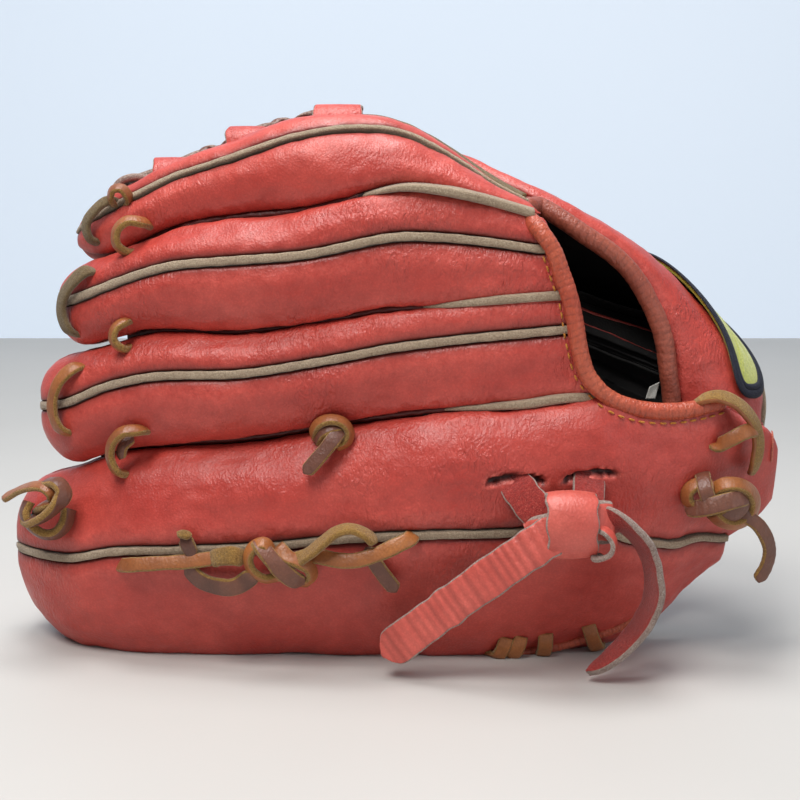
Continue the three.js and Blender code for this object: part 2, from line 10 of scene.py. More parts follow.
import bpy
import numpy as np
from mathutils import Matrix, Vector


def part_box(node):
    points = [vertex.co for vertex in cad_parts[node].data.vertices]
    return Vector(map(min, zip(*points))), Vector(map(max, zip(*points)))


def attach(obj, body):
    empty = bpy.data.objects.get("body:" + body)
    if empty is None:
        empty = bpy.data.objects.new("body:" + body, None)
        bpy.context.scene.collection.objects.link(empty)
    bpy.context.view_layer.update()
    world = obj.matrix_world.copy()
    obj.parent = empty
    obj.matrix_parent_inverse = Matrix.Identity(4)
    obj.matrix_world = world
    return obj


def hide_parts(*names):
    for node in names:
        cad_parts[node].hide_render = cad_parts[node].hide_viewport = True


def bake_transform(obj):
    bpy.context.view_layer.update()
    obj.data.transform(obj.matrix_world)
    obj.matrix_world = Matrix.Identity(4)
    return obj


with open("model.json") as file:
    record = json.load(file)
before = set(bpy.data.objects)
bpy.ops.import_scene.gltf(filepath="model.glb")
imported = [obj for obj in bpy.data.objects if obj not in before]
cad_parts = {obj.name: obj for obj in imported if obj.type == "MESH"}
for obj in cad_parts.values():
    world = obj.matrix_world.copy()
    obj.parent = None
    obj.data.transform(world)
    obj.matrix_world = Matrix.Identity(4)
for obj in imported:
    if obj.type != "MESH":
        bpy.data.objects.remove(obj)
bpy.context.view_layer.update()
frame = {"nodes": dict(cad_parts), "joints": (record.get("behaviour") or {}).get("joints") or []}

# ---------- the layout and the fold ----------
JOINT = frame["joints"][0]
HINGE = np.array(JOINT["pos_m"]) * 1000
SHIFT = HINGE - np.array([135, 26, 115])

# ---------- driving dimensions, in mm ----------
LEATHER = 2.4
FINGER_GAP = 0.6
SEAM = 0.007
WELT_WIDTH = 3.4
LACE_WIDTH = 5.4
LACE_THICK = 2.3
STRAP_THICK = 2.4
BINDING_RADIUS = 3.3
ROUNDNESS = 2.3
GROUND = 0.05
BACK, PALM = 0, 1


# ---------- numbers ----------
def unit(v):
    v = np.asarray(v, float)
    return v / np.maximum(1e-9, np.linalg.norm(v, axis=-1, keepdims=True))


def mix(a, b, t):
    return a + (b - a) * t


def bump_at(d, width):
    return np.exp(-(d / width) ** 2)


def way_along(line):
    """The length along a line up to each of its points."""
    return np.concatenate([[0], np.cumsum(np.linalg.norm(np.diff(line, axis=0), axis=1))])


def way_across(p):
    """The length along each row of a grid of points up to each of its points."""
    steps = np.linalg.norm(np.diff(p, axis=1), axis=-1)
    return np.concatenate([np.zeros((len(p), 1)), np.cumsum(steps, axis=1)], axis=1)


def track(stations):
    """Values given at a few stations, joined by the same smooth cubic as in the CAD part."""
    table = np.array(stations, float)
    xs, ys = table[:, 0], table[:, 1:]
    k = np.arange(len(xs))
    before, after = np.maximum(k - 1, 0), np.minimum(k + 1, len(xs) - 1)
    slopes = (ys[after] - ys[before]) / (xs[after] - xs[before])[:, None]

    def at(x):
        x = np.clip(np.asarray(x, float), xs[0], xs[-1])
        i = np.clip(np.searchsorted(xs, x, side="right") - 1, 0, len(xs) - 2)
        h = xs[i + 1] - xs[i]
        t = ((x - xs[i]) / h)[..., None]
        h = h[..., None]
        return (ys[i] * (2 * t ** 3 - 3 * t ** 2 + 1) + slopes[i] * h * (t ** 3 - 2 * t ** 2 + t)
                + ys[i + 1] * (3 * t ** 2 - 2 * t ** 3) + slopes[i + 1] * h * (t ** 3 - t ** 2))
    return at


def smooth_line(points, count):
    """A centripetal Catmull-Rom line through points, as count even samples of its length."""
    p = np.array(points, float)
    p = np.vstack([2 * p[0] - p[1], p, 2 * p[-1] - p[-2]])
    fine = []
    for a, b, c, d in zip(p, p[1:], p[2:], p[3:]):
        t1 = np.linalg.norm(b - a) ** 0.5
        t2 = t1 + np.linalg.norm(c - b) ** 0.5
        t3 = t2 + np.linalg.norm(d - c) ** 0.5
        t = np.linspace(t1, t2, 24, endpoint=False)[:, None]
        ab, bc, cd = mix(a, b, t / t1), mix(b, c, (t - t1) / (t2 - t1)), mix(c, d, (t - t2) / (t3 - t2))
        abc, bcd = mix(ab, bc, t / t2), mix(bc, cd, (t - t1) / (t3 - t1))
        fine.append(mix(abc, bcd, (t - t1) / (t2 - t1)))
    fine = np.vstack(fine + [p[-2:-1]])
    way = way_along(fine)
    even = np.linspace(0, way[-1], count)
    return np.stack([np.interp(even, way, fine[:, c]) for c in range(3)], axis=1)


def waves(length, seed):
    """A smooth random field of about unit height whose features are about that long in mm."""
    count = 24
    rng = np.random.default_rng(seed)
    k = unit(rng.normal(size=(count, 3))) * rng.uniform(0.6, 1.7, (count, 1)) * 2 * math.pi / length
    phase = rng.uniform(0, 2 * math.pi, count)
    return lambda p: np.cos(np.asarray(p) @ k.T + phase).sum(-1) / math.sqrt(count)


LUMPS, FOLDS, PUCKERS, LACE_WAVES = waves(52, 3), waves(21, 5), waves(7.5, 9), waves(9, 31)

# ---------- the four fingers ----------
BACK_SEAMS = [track(t) for t in [
    [[-165, 40, 5], [-140, 35, -3], [-110, 31, -6], [0, 31, -7], [60, 33, -6], [90, 31, 1],
     [105, 27, 10], [118, 24, 25], [132, 22, 36], [146, 22, 48], [156, 26, 62]],
    [[-165, 42, 76], [-137, 31, 76], [-116, 24, 84], [-90, 17, 88], [-57, 11, 92], [-22, 6, 99],
     [12, -2, 105], [45, -6, 108], [75, -7, 111], [90, -7, 103], [110, -5, 101], [130, 0, 103],
     [145, 8, 98], [156, 18, 88]],
    [[-151, 38, 125], [-134, 30, 124], [-114, 23, 130], [-97, 18, 134], [-64, 11, 134.5],
     [-32, 6, 139], [-8, 0, 144], [12, -3, 146], [39, -6, 149], [66, -7, 151]],
    [[-142, 42, 160], [-122, 32, 162], [-105, 26, 168], [-88, 21, 175], [-67, 16, 179],
     [-39, 10, 182], [-22, 6, 186], [0, 1, 191], [16, -1, 190], [31, -3, 187], [52, -3, 181]],
    [[-135, 50, 178], [-124, 48, 184], [-108, 45, 190], [-91, 42, 196], [-74, 39, 203],
     [-57, 36, 209], [-40, 34, 214], [-16, 32, 216], [0, 30, 213], [16, 27, 205], [37, 18, 191],
     [52, 8, 183]],
]]
PALM_SEAMS = [track(t) for t in [
    [[-165, 41, 5], [-140, 36, -3], [-110, 32, -6], [0, 32, -7], [60, 35, -7], [90, 38, -2],
     [106, 40, 8]],
    [[-165, 42, 76], [-137, 32, 76], [-116, 25, 84], [-90, 18, 88], [-57, 13, 92], [-22, 16, 98],
     [5, 32, 94], [40, 43, 86], [80, 47, 78], [128, 45, 64]],
    [[-151, 38, 125], [-134, 31, 124], [-114, 24, 130], [-97, 19, 134], [-64, 13, 134.5],
     [-32, 15, 138], [-5, 30, 138], [15, 39, 130], [45, 45, 114], [85, 47, 98], [132, 42, 80]],
    [[-142, 42, 160], [-122, 33, 162], [-105, 27, 168], [-88, 22, 175], [-67, 17, 179],
     [-39, 15, 181], [-20, 24, 180], [0, 38, 168], [40, 46, 140], [80, 45, 120], [134, 36, 97]],
    [[-135, 50, 178], [-124, 49, 184], [-108, 46, 190], [-91, 43, 196], [-74, 41, 203],
     [-57, 39, 208], [-40, 38, 210], [-22, 40, 203], [-5, 46, 186], [10, 48, 162], [40, 43, 150],
     [80, 35, 134], [131, 25, 114]],
]]
FINGERS = {
    "pinky": dict(
        seam=0, tip=-165, round=34,
        ridge=[[-165, 0.5], [-140, 0.54], [-80, 0.57], [40, 0.58], [89, 0.55], [118, 0.45], [134, 0.32]],
        bulge=[[-165, 20, 16], [-120, 27, 22], [-60, 28, 24], [0, 28, 24], [60, 25, 18],
               [100, 18, 12], [130, 9, 8], [156, 5, 6]]),
    "ring": dict(
        seam=1, tip=-151, round=25, ridge=[[-151, 0.52], [-120, 0.58], [70, 0.6]],
        bulge=[[-151, 16, 14], [-110, 16, 17], [-60, 15, 18], [-20, 11, 15], [10, 6, 9], [40, 3, 3],
               [130, 2, 2]]),
    "middle": dict(
        seam=2, tip=-142, round=24, ridge=[[-142, 0.5], [-110, 0.56], [60, 0.54]],
        bulge=[[-142, 15, 14], [-110, 16, 17], [-60, 15, 18], [-20, 11, 15], [10, 6, 9], [40, 3, 3],
               [130, 2, 2]]),
    "index": dict(
        seam=3, tip=-135, round=22,
        ridge=[[-135, 0.5], [-100, 0.52], [-75, 0.5], [-40, 0.56], [0, 0.55], [52, 0.6]],
        bulge=[[-135, 12, 12], [-100, 14, 16], [-60, 16, 17], [-30, 16, 15], [0, 11, 9], [30, 5, 4],
               [52, 3, 3], [130, 2, 2]]),
}
for finger in FINGERS.values():
    finger["ridge"] = track(finger["ridge"])
    finger["bulge"] = track(finger["bulge"])
NAMES = list(FINGERS)
# Where the back panels and the ridge welts stop. Those of the upper three fingers run on until
# the rolled binding covers their cut ends, so their ends slope with the opening's edge.
PANEL_END = {"pinky": 154, "ring": 58, "middle": 52, "index": 42}
RIDGE_END = {**PANEL_END, "pinky": 134}
OPENING_EDGE = {"ring": (80, 63.5), "middle": (63.5, 54), "index": (54, 46)}


def to_opening(name, x, turn):
    """Stations of x stretched past the crotch so that the last one lies under the binding."""
    if name not in OPENING_EDGE:
        return x + 0 * turn
    low, high = OPENING_EDGE[name]
    share = np.clip((x - 5) / (PANEL_END[name] - 5), 0, 1)
    return x + share * (mix(low, high, turn) - PANEL_END[name])


def skin(name, side, x, turn):
    """Points of a finger's skin: x along it, turn from 0 at its lower seam to 1 at its upper one."""
    x, turn = np.broadcast_arrays(np.asarray(x, float), np.asarray(turn, float))
    f = FINGERS[name]
    seams = (BACK_SEAMS, PALM_SEAMS)[side]
    low, high = seams[f["seam"]](x), seams[f["seam"] + 1](x)
    along = np.clip((x - f["tip"]) / f["round"], 0, 1)
    taper = np.maximum(0.02, 1 - (1 - along) ** ROUNDNESS) ** (1 / ROUNDNESS)
    half = (high - low) / 2
    chord = np.linalg.norm(half, axis=-1)
    shrink = taper * np.maximum(1, chord - FINGER_GAP) / chord
    angle = math.pi * turn
    cosine = np.cos(angle)
    across = -np.sign(cosine) * np.abs(cosine) ** (2 / ROUNDNESS) * shrink
    out = np.maximum(0, np.sin(angle)) ** (2 / ROUNDNESS) * f["bulge"](x)[..., side] * taper / chord
    facing = (1, -1)[side]
    middle = (low + high) / 2
    y = middle[..., 0] + half[..., 0] * across - facing * out * half[..., 1]
    z = middle[..., 1] + half[..., 1] * across + facing * out * half[..., 0]
    return np.stack([x, y, z], axis=-1)


def below(name, side, x, turn, depth):
    """The same points moved in along the skin's normal, stopping at the ground."""
    x, turn, depth = np.broadcast_arrays(*[np.asarray(v, float) for v in (x, turn, depth)])
    step = 0.004
    a = skin(name, side, x, np.maximum(0, turn - step))
    b = skin(name, side, x, np.minimum(1, turn + step))
    normal = unit(np.cross(b - a, skin(name, side, x + 0.6, turn) - skin(name, side, x - 0.6, turn)))
    p = skin(name, side, x, turn) + (1, -1)[side] * depth[..., None] * normal
    p[..., 2] = np.maximum(np.maximum(p[..., 2], depth), 0)
    return p


# ---------- the thumb ----------
THUMB = [
    ((114, 11, 92), (139, 25, 97), (148, 44, 80), (17, 4)),
    ((110, 12, 107), (134, 31, 117), (147, 58, 96), (22, 4)),
    ((107, 12, 131), (108, 38, 131), (136, 77, 108), (20, 6)),
    ((92, 14, 160), (80, 43, 140), (114, 92, 118), (16, 8)),
    ((66, 16, 179), (52, 49, 152), (82, 101, 126), (15, 9)),
    ((46, 24, 190), (26, 55, 162), (47, 106, 134), (15, 10)),
    ((18, 40, 203), (2, 60, 176), (10, 109, 142), (15, 10)),
    ((-14, 56, 206), (-15, 65, 196), (-24, 111, 149), (15, 10)),
    ((-42, 70, 203), (-42, 72, 199), (-52, 112, 155), (14, 11)),
    ((-68, 84, 196), (-68, 86, 193), (-75, 111, 161), (12, 10)),
    ((-84, 95, 187), (-84, 96, 185), (-88, 106, 168), (6, 6)),
]


def spline(points):
    """three.js's centripetal line through the points, by its own even parameter from 0 to 1."""
    p = np.array(points, float)
    p = np.vstack([2 * p[0] - p[1], p, 2 * p[-1] - p[-2]])
    gaps = np.maximum(1e-4, np.linalg.norm(np.diff(p, axis=0), axis=1) ** 0.5)

    def at(u):
        s = np.clip(np.asarray(u, float), 0, 1) * (len(p) - 3)
        i = np.minimum(s.astype(int), len(p) - 4)
        t = (s - i)[..., None]
        a, b, c, d = p[i], p[i + 1], p[i + 2], p[i + 3]
        g0, g1, g2 = (gaps[i + k][..., None] for k in range(3))
        m1 = ((b - a) / g0 - (c - a) / (g0 + g1) + (c - b) / g1) * g1
        m2 = ((c - b) / g1 - (d - b) / (g1 + g2) + (d - c) / g2) * g1
        return (b + m1 * t + (3 * (c - b) - 2 * m1 - m2) * t ** 2
                + (m1 + m2 - 2 * (c - b)) * t ** 3)
    return at


NEAR, INNER_FOLD, OUTER_SEAM = (spline([row[k] for row in THUMB]) for k in range(3))
THUMB_BULGE = track([[k / 10, *row[3]] for k, row in enumerate(THUMB)])
POCKET = np.array([0, 60, 90])
THUMB_RIDGE = 0.64


def thumb_skin(side, u, turn):
    """Points of the thumb's skin: u from wrist to tip, turn from its inner edge to its outer seam."""
    u, turn = np.broadcast_arrays(np.asarray(u, float), np.asarray(turn, float))
    inner = (NEAR, INNER_FOLD)[side]
    a, b = inner(u), OUTER_SEAM(u)
    along = inner(u + 0.02) - inner(u - 0.02) + OUTER_SEAM(u + 0.02) - OUTER_SEAM(u - 0.02)
    normal = unit(np.cross(b - a, along))
    outward = np.sign(np.sum(normal * ((a + b) / 2 - POCKET), axis=-1))[..., None]
    normal = normal * outward * (1, -1)[side]
    cosine = np.cos(math.pi * turn)
    across = 0.5 - 0.5 * np.sign(cosine) * np.abs(cosine) ** (2 / ROUNDNESS)
    out = np.maximum(0, np.sin(math.pi * turn)) ** (2 / ROUNDNESS) * THUMB_BULGE(u)[..., side]
    return mix(a, b, across[..., None]) + normal * out[..., None]


def thumb_below(side, u, turn, depth):
    """The same points moved in along the thumb's normal."""
    u, turn, depth = np.broadcast_arrays(*[np.asarray(v, float) for v in (u, turn, depth)])
    step = 0.006
    a = thumb_skin(side, u, np.maximum(0, turn - step))
    b = thumb_skin(side, u, np.minimum(1, turn + step))
    c = thumb_skin(side, np.maximum(0, u - step), turn)
    d = thumb_skin(side, np.minimum(1, u + step), turn)
    normal = unit(np.cross(b - a, d - c))
    p = thumb_skin(side, u, turn)
    outward = p - (NEAR(u) + OUTER_SEAM(u)) / 2 - (INNER_FOLD(u) - NEAR(u)) / 2
    normal = normal * np.where(np.sum(normal * outward, axis=-1) < 0, -1, 1)[..., None]
    return p - normal * depth[..., None]


# ---------- the web ----------
WEB_SPAN = (-16, -122)


def web(u, share, lift):
    """Points of the web: u from its crotch to its top, share from the index finger to the thumb."""
    u, share, lift = np.broadcast_arrays(*[np.asarray(v, float) for v in (u, share, lift)])
    x = mix(WEB_SPAN[0], WEB_SPAN[1], u)
    edge = BACK_SEAMS[4](x)
    index = np.stack([x, edge[..., 0] + 5, edge[..., 1] + 2.5], axis=-1)
    thumb = NEAR(mix(0.71, 0.98, u)) + [0, -5, 3]
    p = mix(index, thumb, share[..., None])
    p[..., 2] += lift - 7 * np.sin(math.pi * share) * (1 - 0.4 * u)
    return p


# ---------- materials ----------
class Nodes:
    """A short way to write a shader: node(type, inputs, settings) returns the new node."""

    def __init__(self, name):
        self.material = bpy.data.materials.new(name)
        self.material.use_nodes = True
        self.tree = self.material.node_tree
        self.shader = self.tree.nodes["Principled BSDF"]
        self.place = self.node("ShaderNodeTexCoord").outputs["Object"]

    def node(self, kind, inputs=None, **settings):
        made = self.tree.nodes.new(kind)
        for key, value in settings.items():
            setattr(made, key, value)
        for key, value in (inputs or {}).items():
            self.set(made, key, value)
        return made

    def set(self, node, key, value):
        if isinstance(value, bpy.types.NodeSocket):
            self.tree.links.new(value, node.inputs[key])
        else:
            node.inputs[key].default_value = value

    def stretched(self, stretch):
        if stretch is None:
            return self.place
        return self.node("ShaderNodeMapping", {"Vector": self.place, "Scale": stretch}).outputs[0]

    def noise(self, scale, detail=3.0, rough=0.5, distort=0.0, stretch=None):
        place = self.stretched(stretch)
        return self.node("ShaderNodeTexNoise", {
            "Vector": place, "Scale": scale, "Detail": detail, "Roughness": rough,
            "Distortion": distort}).outputs["Fac"]

    def cells(self, scale, feature="F1", warp=0.0, stretch=None):
        place = self.stretched(stretch)
        if warp:
            wobble = self.node("ShaderNodeTexNoise", {"Vector": place, "Scale": scale * 0.4})
            place = self.node("ShaderNodeMix", {
                "Factor": warp, 4: place, 5: wobble.outputs["Color"]}, data_type="VECTOR").outputs[1]
        return self.node("ShaderNodeTexVoronoi", {
            "Vector": place, "Scale": scale}, feature=feature).outputs["Distance"]

    def math(self, operation, a, b=0.0, c=0.0):
        return self.node("ShaderNodeMath", {0: a, 1: b, 2: c}, operation=operation).outputs[0]

    def ramp(self, value, low, high, out_low=0.0, out_high=1.0):
        return self.node("ShaderNodeMapRange", {
            "Value": value, "From Min": low, "From Max": high, "To Min": out_low,
            "To Max": out_high}).outputs[0]

    def attribute(self, name):
        return self.node("ShaderNodeAttribute", attribute_name=name).outputs["Fac"]

    def blend(self, factor, a, b):
        made = self.node("ShaderNodeMix", data_type="RGBA", clamp_factor=True)
        self.set(made, "Factor", factor)
        self.set(made, 6, a if isinstance(a, bpy.types.NodeSocket) else (*a, 1))
        self.set(made, 7, b if isinstance(b, bpy.types.NodeSocket) else (*b, 1))
        return made.outputs[2]

    def bump(self, *layers):
        """Stacks (height, strength, distance in metres) layers into one normal."""
        normal = None
        for height, strength, distance in layers:
            inputs = {"Height": height, "Strength": strength, "Distance": distance}
            if normal:
                inputs["Normal"] = normal
            normal = self.node("ShaderNodeBump", inputs).outputs[0]
        self.set(self.shader, "Normal", normal)

    def finish(self, color, roughness, specular=0.5, sheen=0.0):
        self.set(self.shader, "Base Color", color)
        self.set(self.shader, "Roughness", roughness)
        self.shader.inputs["Specular IOR Level"].default_value = specular
        self.shader.inputs["Sheen Weight"].default_value = sheen
        self.shader.inputs["Sheen Roughness"].default_value = 0.5
        return self.material


def linear(r, g, b):
    """An sRGB colour, 0 to 255, as the linear one that a shader takes."""
    return tuple(((c / 255 + 0.055) / 1.055) ** 2.4 if c > 10 else c / 3295 for c in (r, g, b))


def grain_leather(name, base, pale, dark, rough=0.44, grain=1.0, crease=1.0):
    """Hide with a pebble grain, broad uneven dye, fine creases, painted shade at seams and pale worn
    spots.
    """
    n = Nodes(name)
    patches = n.ramp(n.noise(26, 4, 0.6), 0.32, 0.68)
    color = n.blend(patches, linear(*base), linear(*pale))
    mottle = n.ramp(n.noise(160, 5, 0.65), 0.3, 0.72, 0.0, 0.34)
    color = n.blend(mottle, color, linear(*dark))
    cells = n.cells(1050, warp=0.0012)
    pits = n.ramp(cells, 0.12, 0.62, 0.0, 0.2)
    color = n.blend(pits, color, linear(*dark))
    # Painted shade: a per-point value darkens the hide toward a deep tone along seams, in slits and
    # hollows.
    cavity = n.attribute("cavity")
    color = n.blend(n.math("MULTIPLY", cavity, 0.85), color, linear(*[c * 0.42 for c in dark]))
    worn = n.math("MULTIPLY", n.attribute("worn"), n.ramp(n.noise(420, 4, 0.7), 0.35, 0.62))
    scuffed = linear(*[min(255, c * 1.25 + 24) for c in pale])
    color = n.blend(n.math("MULTIPLY", worn, 0.6), color, scuffed)
    creases = n.cells(430, "DISTANCE_TO_EDGE", warp=0.004, stretch=(1.2, 1.0, 0.6))
    fine = n.ramp(creases, 0.0, 0.3)
    lines = n.noise(260, 3, 0.5, 1.6, (1.5, 1.0, 0.6))
    wrinkle = n.attribute("wrinkle")
    n.bump(
        (n.noise(75, 3, 0.55), 0.30, 0.0014),
        (lines, n.math("MULTIPLY_ADD", wrinkle, 0.62 * crease, 0.05 * crease), 0.0018),
        (fine, n.math("MULTIPLY_ADD", wrinkle, 0.30 * crease, 0.03 * crease), 0.0005),
        (cells, 0.30 * grain, 0.00035),
        (n.noise(2600, 2), 0.14 * grain, 0.0003),
    )
    shine = n.ramp(n.noise(95, 3), 0.3, 0.7, rough - 0.05, rough + 0.10)
    return n.finish(color, shine, 0.55)


def suede(name, base, pale, dark, scale=1.0, rough=0.93):
    """A cut edge or flesh side: short fibres, pale specks and dark gaps."""
    n = Nodes(name)
    fibres = n.noise(1500 * scale, 5, 0.75)
    color = n.blend(n.ramp(fibres, 0.34, 0.66), linear(*dark), linear(*base))
    specks = n.ramp(n.noise(2600 * scale, 4, 0.8), 0.52, 0.72)
    color = n.blend(specks, color, linear(*pale))
    color = n.blend(n.ramp(n.noise(90, 3), 0.3, 0.75, 0.0, 0.4), color, linear(*dark))
    # Painted shade from the same per-point value darkens seams and hollows.
    color = n.blend(n.math("MULTIPLY", n.attribute("cavity"), 0.8), color,
                    linear(*[c * 0.4 for c in dark]))
    n.bump((fibres, 0.8, 0.0007), (n.noise(3600 * scale, 3, 0.7), 0.6, 0.0003))
    return n.finish(color, rough, 0.2, 0.25)


RED = grain_leather("red_leather", (184, 58, 48), (208, 82, 70), (124, 26, 20), 0.42)
ROLL = grain_leather("binding_leather", (188, 78, 52), (208, 106, 74), (122, 40, 26), 0.4, 0.7, 1.2)
BROWN_ROLL = grain_leather("thumb_roll_leather", (152, 72, 54), (176, 92, 70), (100, 40, 30), 0.42, 0.8,
                           0.9)
LACE = grain_leather("lace_grain", (146, 82, 44), (184, 114, 58), (82, 44, 26), 0.4, 0.7, 0.6)
DARK_LACE = grain_leather("lace_grain_dark", (104, 62, 50), (132, 82, 60), (58, 32, 28), 0.42, 0.7, 0.7)
LINER = grain_leather("black_lining", (15, 14, 14), (22, 20, 20), (7, 7, 7), 0.8, 0.6, 0.4)
WELT = suede("welt_cut_edge", (186, 166, 140), (214, 200, 176), (132, 110, 90), 0.9)
EDGE = suede("lace_suede_edge", (176, 134, 66), (212, 176, 104), (108, 74, 34), 0.9)
OLIVE = suede("lace_flesh_side", (132, 112, 78), (166, 144, 102), (84, 66, 44), 0.9)
CUT = suede("strap_cut_edge", (176, 158, 146), (226, 218, 206), (122, 92, 84), 0.8)
FLESH = suede("strap_flesh_side", (176, 54, 46), (212, 104, 92), (120, 30, 26), 0.7, 0.8)
PINK = grain_leather("strap_smooth_face", (204, 82, 70), (222, 108, 94), (150, 46, 38), 0.45, 0.8, 0.7)


def plain_material(name, base, dark, rough, scale, strength, specular=0.4, sheen=0.0):
    """A fine even weave, for thread, felt, woven cloth and moulded plastic."""
    n = Nodes(name)
    weave = n.noise(scale, 4, 0.6)
    color = n.blend(n.ramp(weave, 0.3, 0.7), linear(*dark), linear(*base))
    n.bump((weave, strength, 0.0005))
    return n.finish(color, rough, specular, sheen)


FELT = plain_material("black_felt", (30, 28, 27), (14, 13, 13), 0.95, 900, 0.7, 0.2, 0.3)
PLASTIC = plain_material("stiffener_plastic", (220, 217, 208), (206, 202, 192), 0.4, 300, 0.08)
THREAD = plain_material("orange_thread", (222, 146, 48), (150, 88, 24), 0.62, 1800, 0.6, 0.35, 0.2)
NAVY = plain_material("navy_thread", (24, 28, 50), (10, 12, 24), 0.6, 1500, 0.7, 0.35, 0.05)
HEM = plain_material("pink_thread", (206, 118, 98), (146, 68, 54), 0.6, 1700, 0.6, 0.35, 0.2)
LIME = plain_material("yellow_green_thread", (196, 198, 74), (140, 148, 40), 0.55, 1300, 0.7, 0.4, 0.3)
TAG = plain_material("white_woven_tag", (232, 230, 224), (200, 198, 190), 0.85, 2200, 0.5, 0.3, 0.2)


# ---------- closed meshes ----------
def make(name, points, faces, materials, face_materials=None, cavity=None, wrinkle=None, worn=None):
    """A mesh object from layout points in mm. A face that repeats its last point is a triangle."""
    mesh = bpy.data.meshes.new(name)
    co = (np.asarray(points, float).reshape(-1, 3) + SHIFT) / 1000
    mesh.from_pydata(co.tolist(), [], [tuple(dict.fromkeys(face)) for face in faces.tolist()])
    for m in materials:
        mesh.materials.append(m)
    if face_materials is not None:
        mesh.polygons.foreach_set("material_index", np.asarray(face_materials, np.int32))
    mesh.polygons.foreach_set("use_smooth", np.ones(len(faces), bool))
    # Per-point values for the shaders: painted shade in hollows, how wrinkled, how worn.
    for key, values in (("cavity", cavity), ("wrinkle", wrinkle), ("worn", worn)):
        layer = mesh.attributes.new(key, "FLOAT", "POINT")
        if values is not None:
            layer.data.foreach_set("value", np.asarray(values, np.float32).reshape(-1))
    mesh.update()
    obj = bpy.data.objects.new(name, mesh)
    bpy.context.scene.collection.objects.link(obj)
    return obj


def hang(obj, body, slot, *nodes):
    """Says which body a piece moves with and the CAD nodes it shows; slot, what kind of piece it is, is
    not used.
    """
    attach(obj, body)
    if nodes:
        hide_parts(*nodes)


def outward(points, faces):
    """The faces turned so that the closed surface faces out."""
    p = np.asarray(points).reshape(-1, 3)
    f = np.asarray(faces)
    centre = p.mean(0)
    a, b, c, d = (p[f[:, k]] - centre for k in range(4))
    volume = np.sum(a * np.cross(b, c)) + np.sum(a * np.cross(c, d))
    return f if volume > 0 else f[:, ::-1]


def thick_sheet(name, outer, inner, materials, keep=None, back_material=0, **shading):
    """A closed sheet between two grids of points. keep leaves cells out, for slits and holes."""
    rows, columns = outer.shape[:2]
    cells = np.ones((rows - 1, columns - 1), bool) if keep is None else keep
    ids = np.arange(rows * columns).reshape(rows, columns)
    deep = rows * columns
    quad = np.stack([ids[:-1, :-1], ids[1:, :-1], ids[1:, 1:], ids[:-1, 1:]], axis=-1)
    top = quad[cells]
    parts = [top, top[:, ::-1] + deep]
    padded = np.pad(cells, 1)
    core = padded[1:-1, 1:-1]
    for other, (a, b) in ((padded[1:-1, :-2], (0, 1)), (padded[2:, 1:-1], (1, 2)),
                          (padded[1:-1, 2:], (2, 3)), (padded[:-2, 1:-1], (3, 0))):
        edge = quad[core & ~other]
        parts.append(np.stack([edge[:, b], edge[:, a], edge[:, a] + deep, edge[:, b] + deep], axis=-1))
    faces = np.vstack(parts)
    slots = np.concatenate([np.zeros(len(top)), np.full(len(top), back_material),
                            np.full(len(faces) - 2 * len(top), len(materials) - 1)])
    points = np.concatenate([outer.reshape(-1, 3), inner.reshape(-1, 3)])
    used = np.zeros(len(points), bool)
    used[faces.ravel()] = True
    renumber = np.cumsum(used) - 1
    both = {k: np.concatenate([v.reshape(-1), v.reshape(-1)])[used] for k, v in shading.items()}
    turned = outward(points, faces)
    return make(name, points[used], renumber[turned], materials, slots, **both)


RIM = np.array([0.0, 0.35, 0.9, 1.7])


def spread(length, step):
    """Even stations over a length in mm, with close ones at both rims."""
    count = max(2, round((length - 2 * RIM[-1]) / step))
    inside = np.linspace(RIM[-1], length - RIM[-1], count + 1)
    return np.concatenate([RIM[:-1], inside, length - RIM[-2::-1]])


def rim_drop(stations, length, radius):
    """How far a rounded rim drops at stations over a length."""
    d = np.minimum(stations, length - stations)
    inside = np.clip(radius - d, 0, radius)
    return np.minimum(0.86 * radius, radius - np.sqrt(np.maximum(0, radius ** 2 - inside ** 2)))


# ---------- relief: how worn leather departs from the smooth skin ----------
# Fine creases gather at these places: layout point, radius.
CREASED = [
    ((-35, -15, 128), 24), ((-2, -10, 176), 26), ((48, -10, 152), 22), ((66, -14, 118), 12),
    ((-20, -20, 82), 16), ((30, -25, 88), 26), ((-120, 0, 140), 22), ((-95, 10, 190), 18),
    ((20, -24, 48), 22), ((100, -22, 70), 20), ((110, 20, 130), 26), ((60, 60, 190), 30),
    ((-40, 90, 190), 26), ((-150, 20, 30), 26), ((0, 50, 110), 60), ((90, 50, 90), 30),
    ((-60, 25, 60), 30), ((-100, 35, 130), 30),
]


def creased(p):
    """How wrinkled the leather is at points, from 0 to 1."""
    total = np.zeros(p.shape[:-1])
    for centre, radius in CREASED:
        total += np.exp(-np.sum((p - np.array(centre)) ** 2, axis=-1) / radius ** 2)
    return np.clip(total * (0.75 + 0.35 * FOLDS(p)), 0, 1)


def leather_relief(p, seam_distance):
    """Height in mm over the skin, and how much painted shade darkens each point near its seams, from 0 to
    1.
    """
    near_seam = np.exp(-seam_distance / 3.2)
    height = (0.55 * LUMPS(p) + 0.26 * FOLDS(p)) * (1 - 0.75 * near_seam)
    height += PUCKERS(p) * (0.10 + 0.22 * near_seam * (1 - np.exp(-seam_distance / 0.8)))
    height -= 0.95 * np.exp(-seam_distance / 1.9)
    height += 0.55 * bump_at(seam_distance - 6.5, 4.2)
    cavity = np.clip(1.15 * np.exp(-seam_distance / 1.3) + 0.10 * near_seam - 0.03, 0, 1)
    return height, cavity


# ---------- finger backs ----------
def turn_for(name, x, turn, width):
    """The share of a turn that spans a width in mm at a place on a finger's back."""
    gap = np.linalg.norm(skin(name, BACK, x, turn - 0.005) - skin(name, BACK, x, turn + 0.005), axis=-1)
    return 0.01 * width / gap


def tip_shares(count):
    """Stations round a fingertip as shares of its rounding, closer together toward the tip."""
    return 1 - np.cos(np.radians(np.linspace(20, 90, count)))


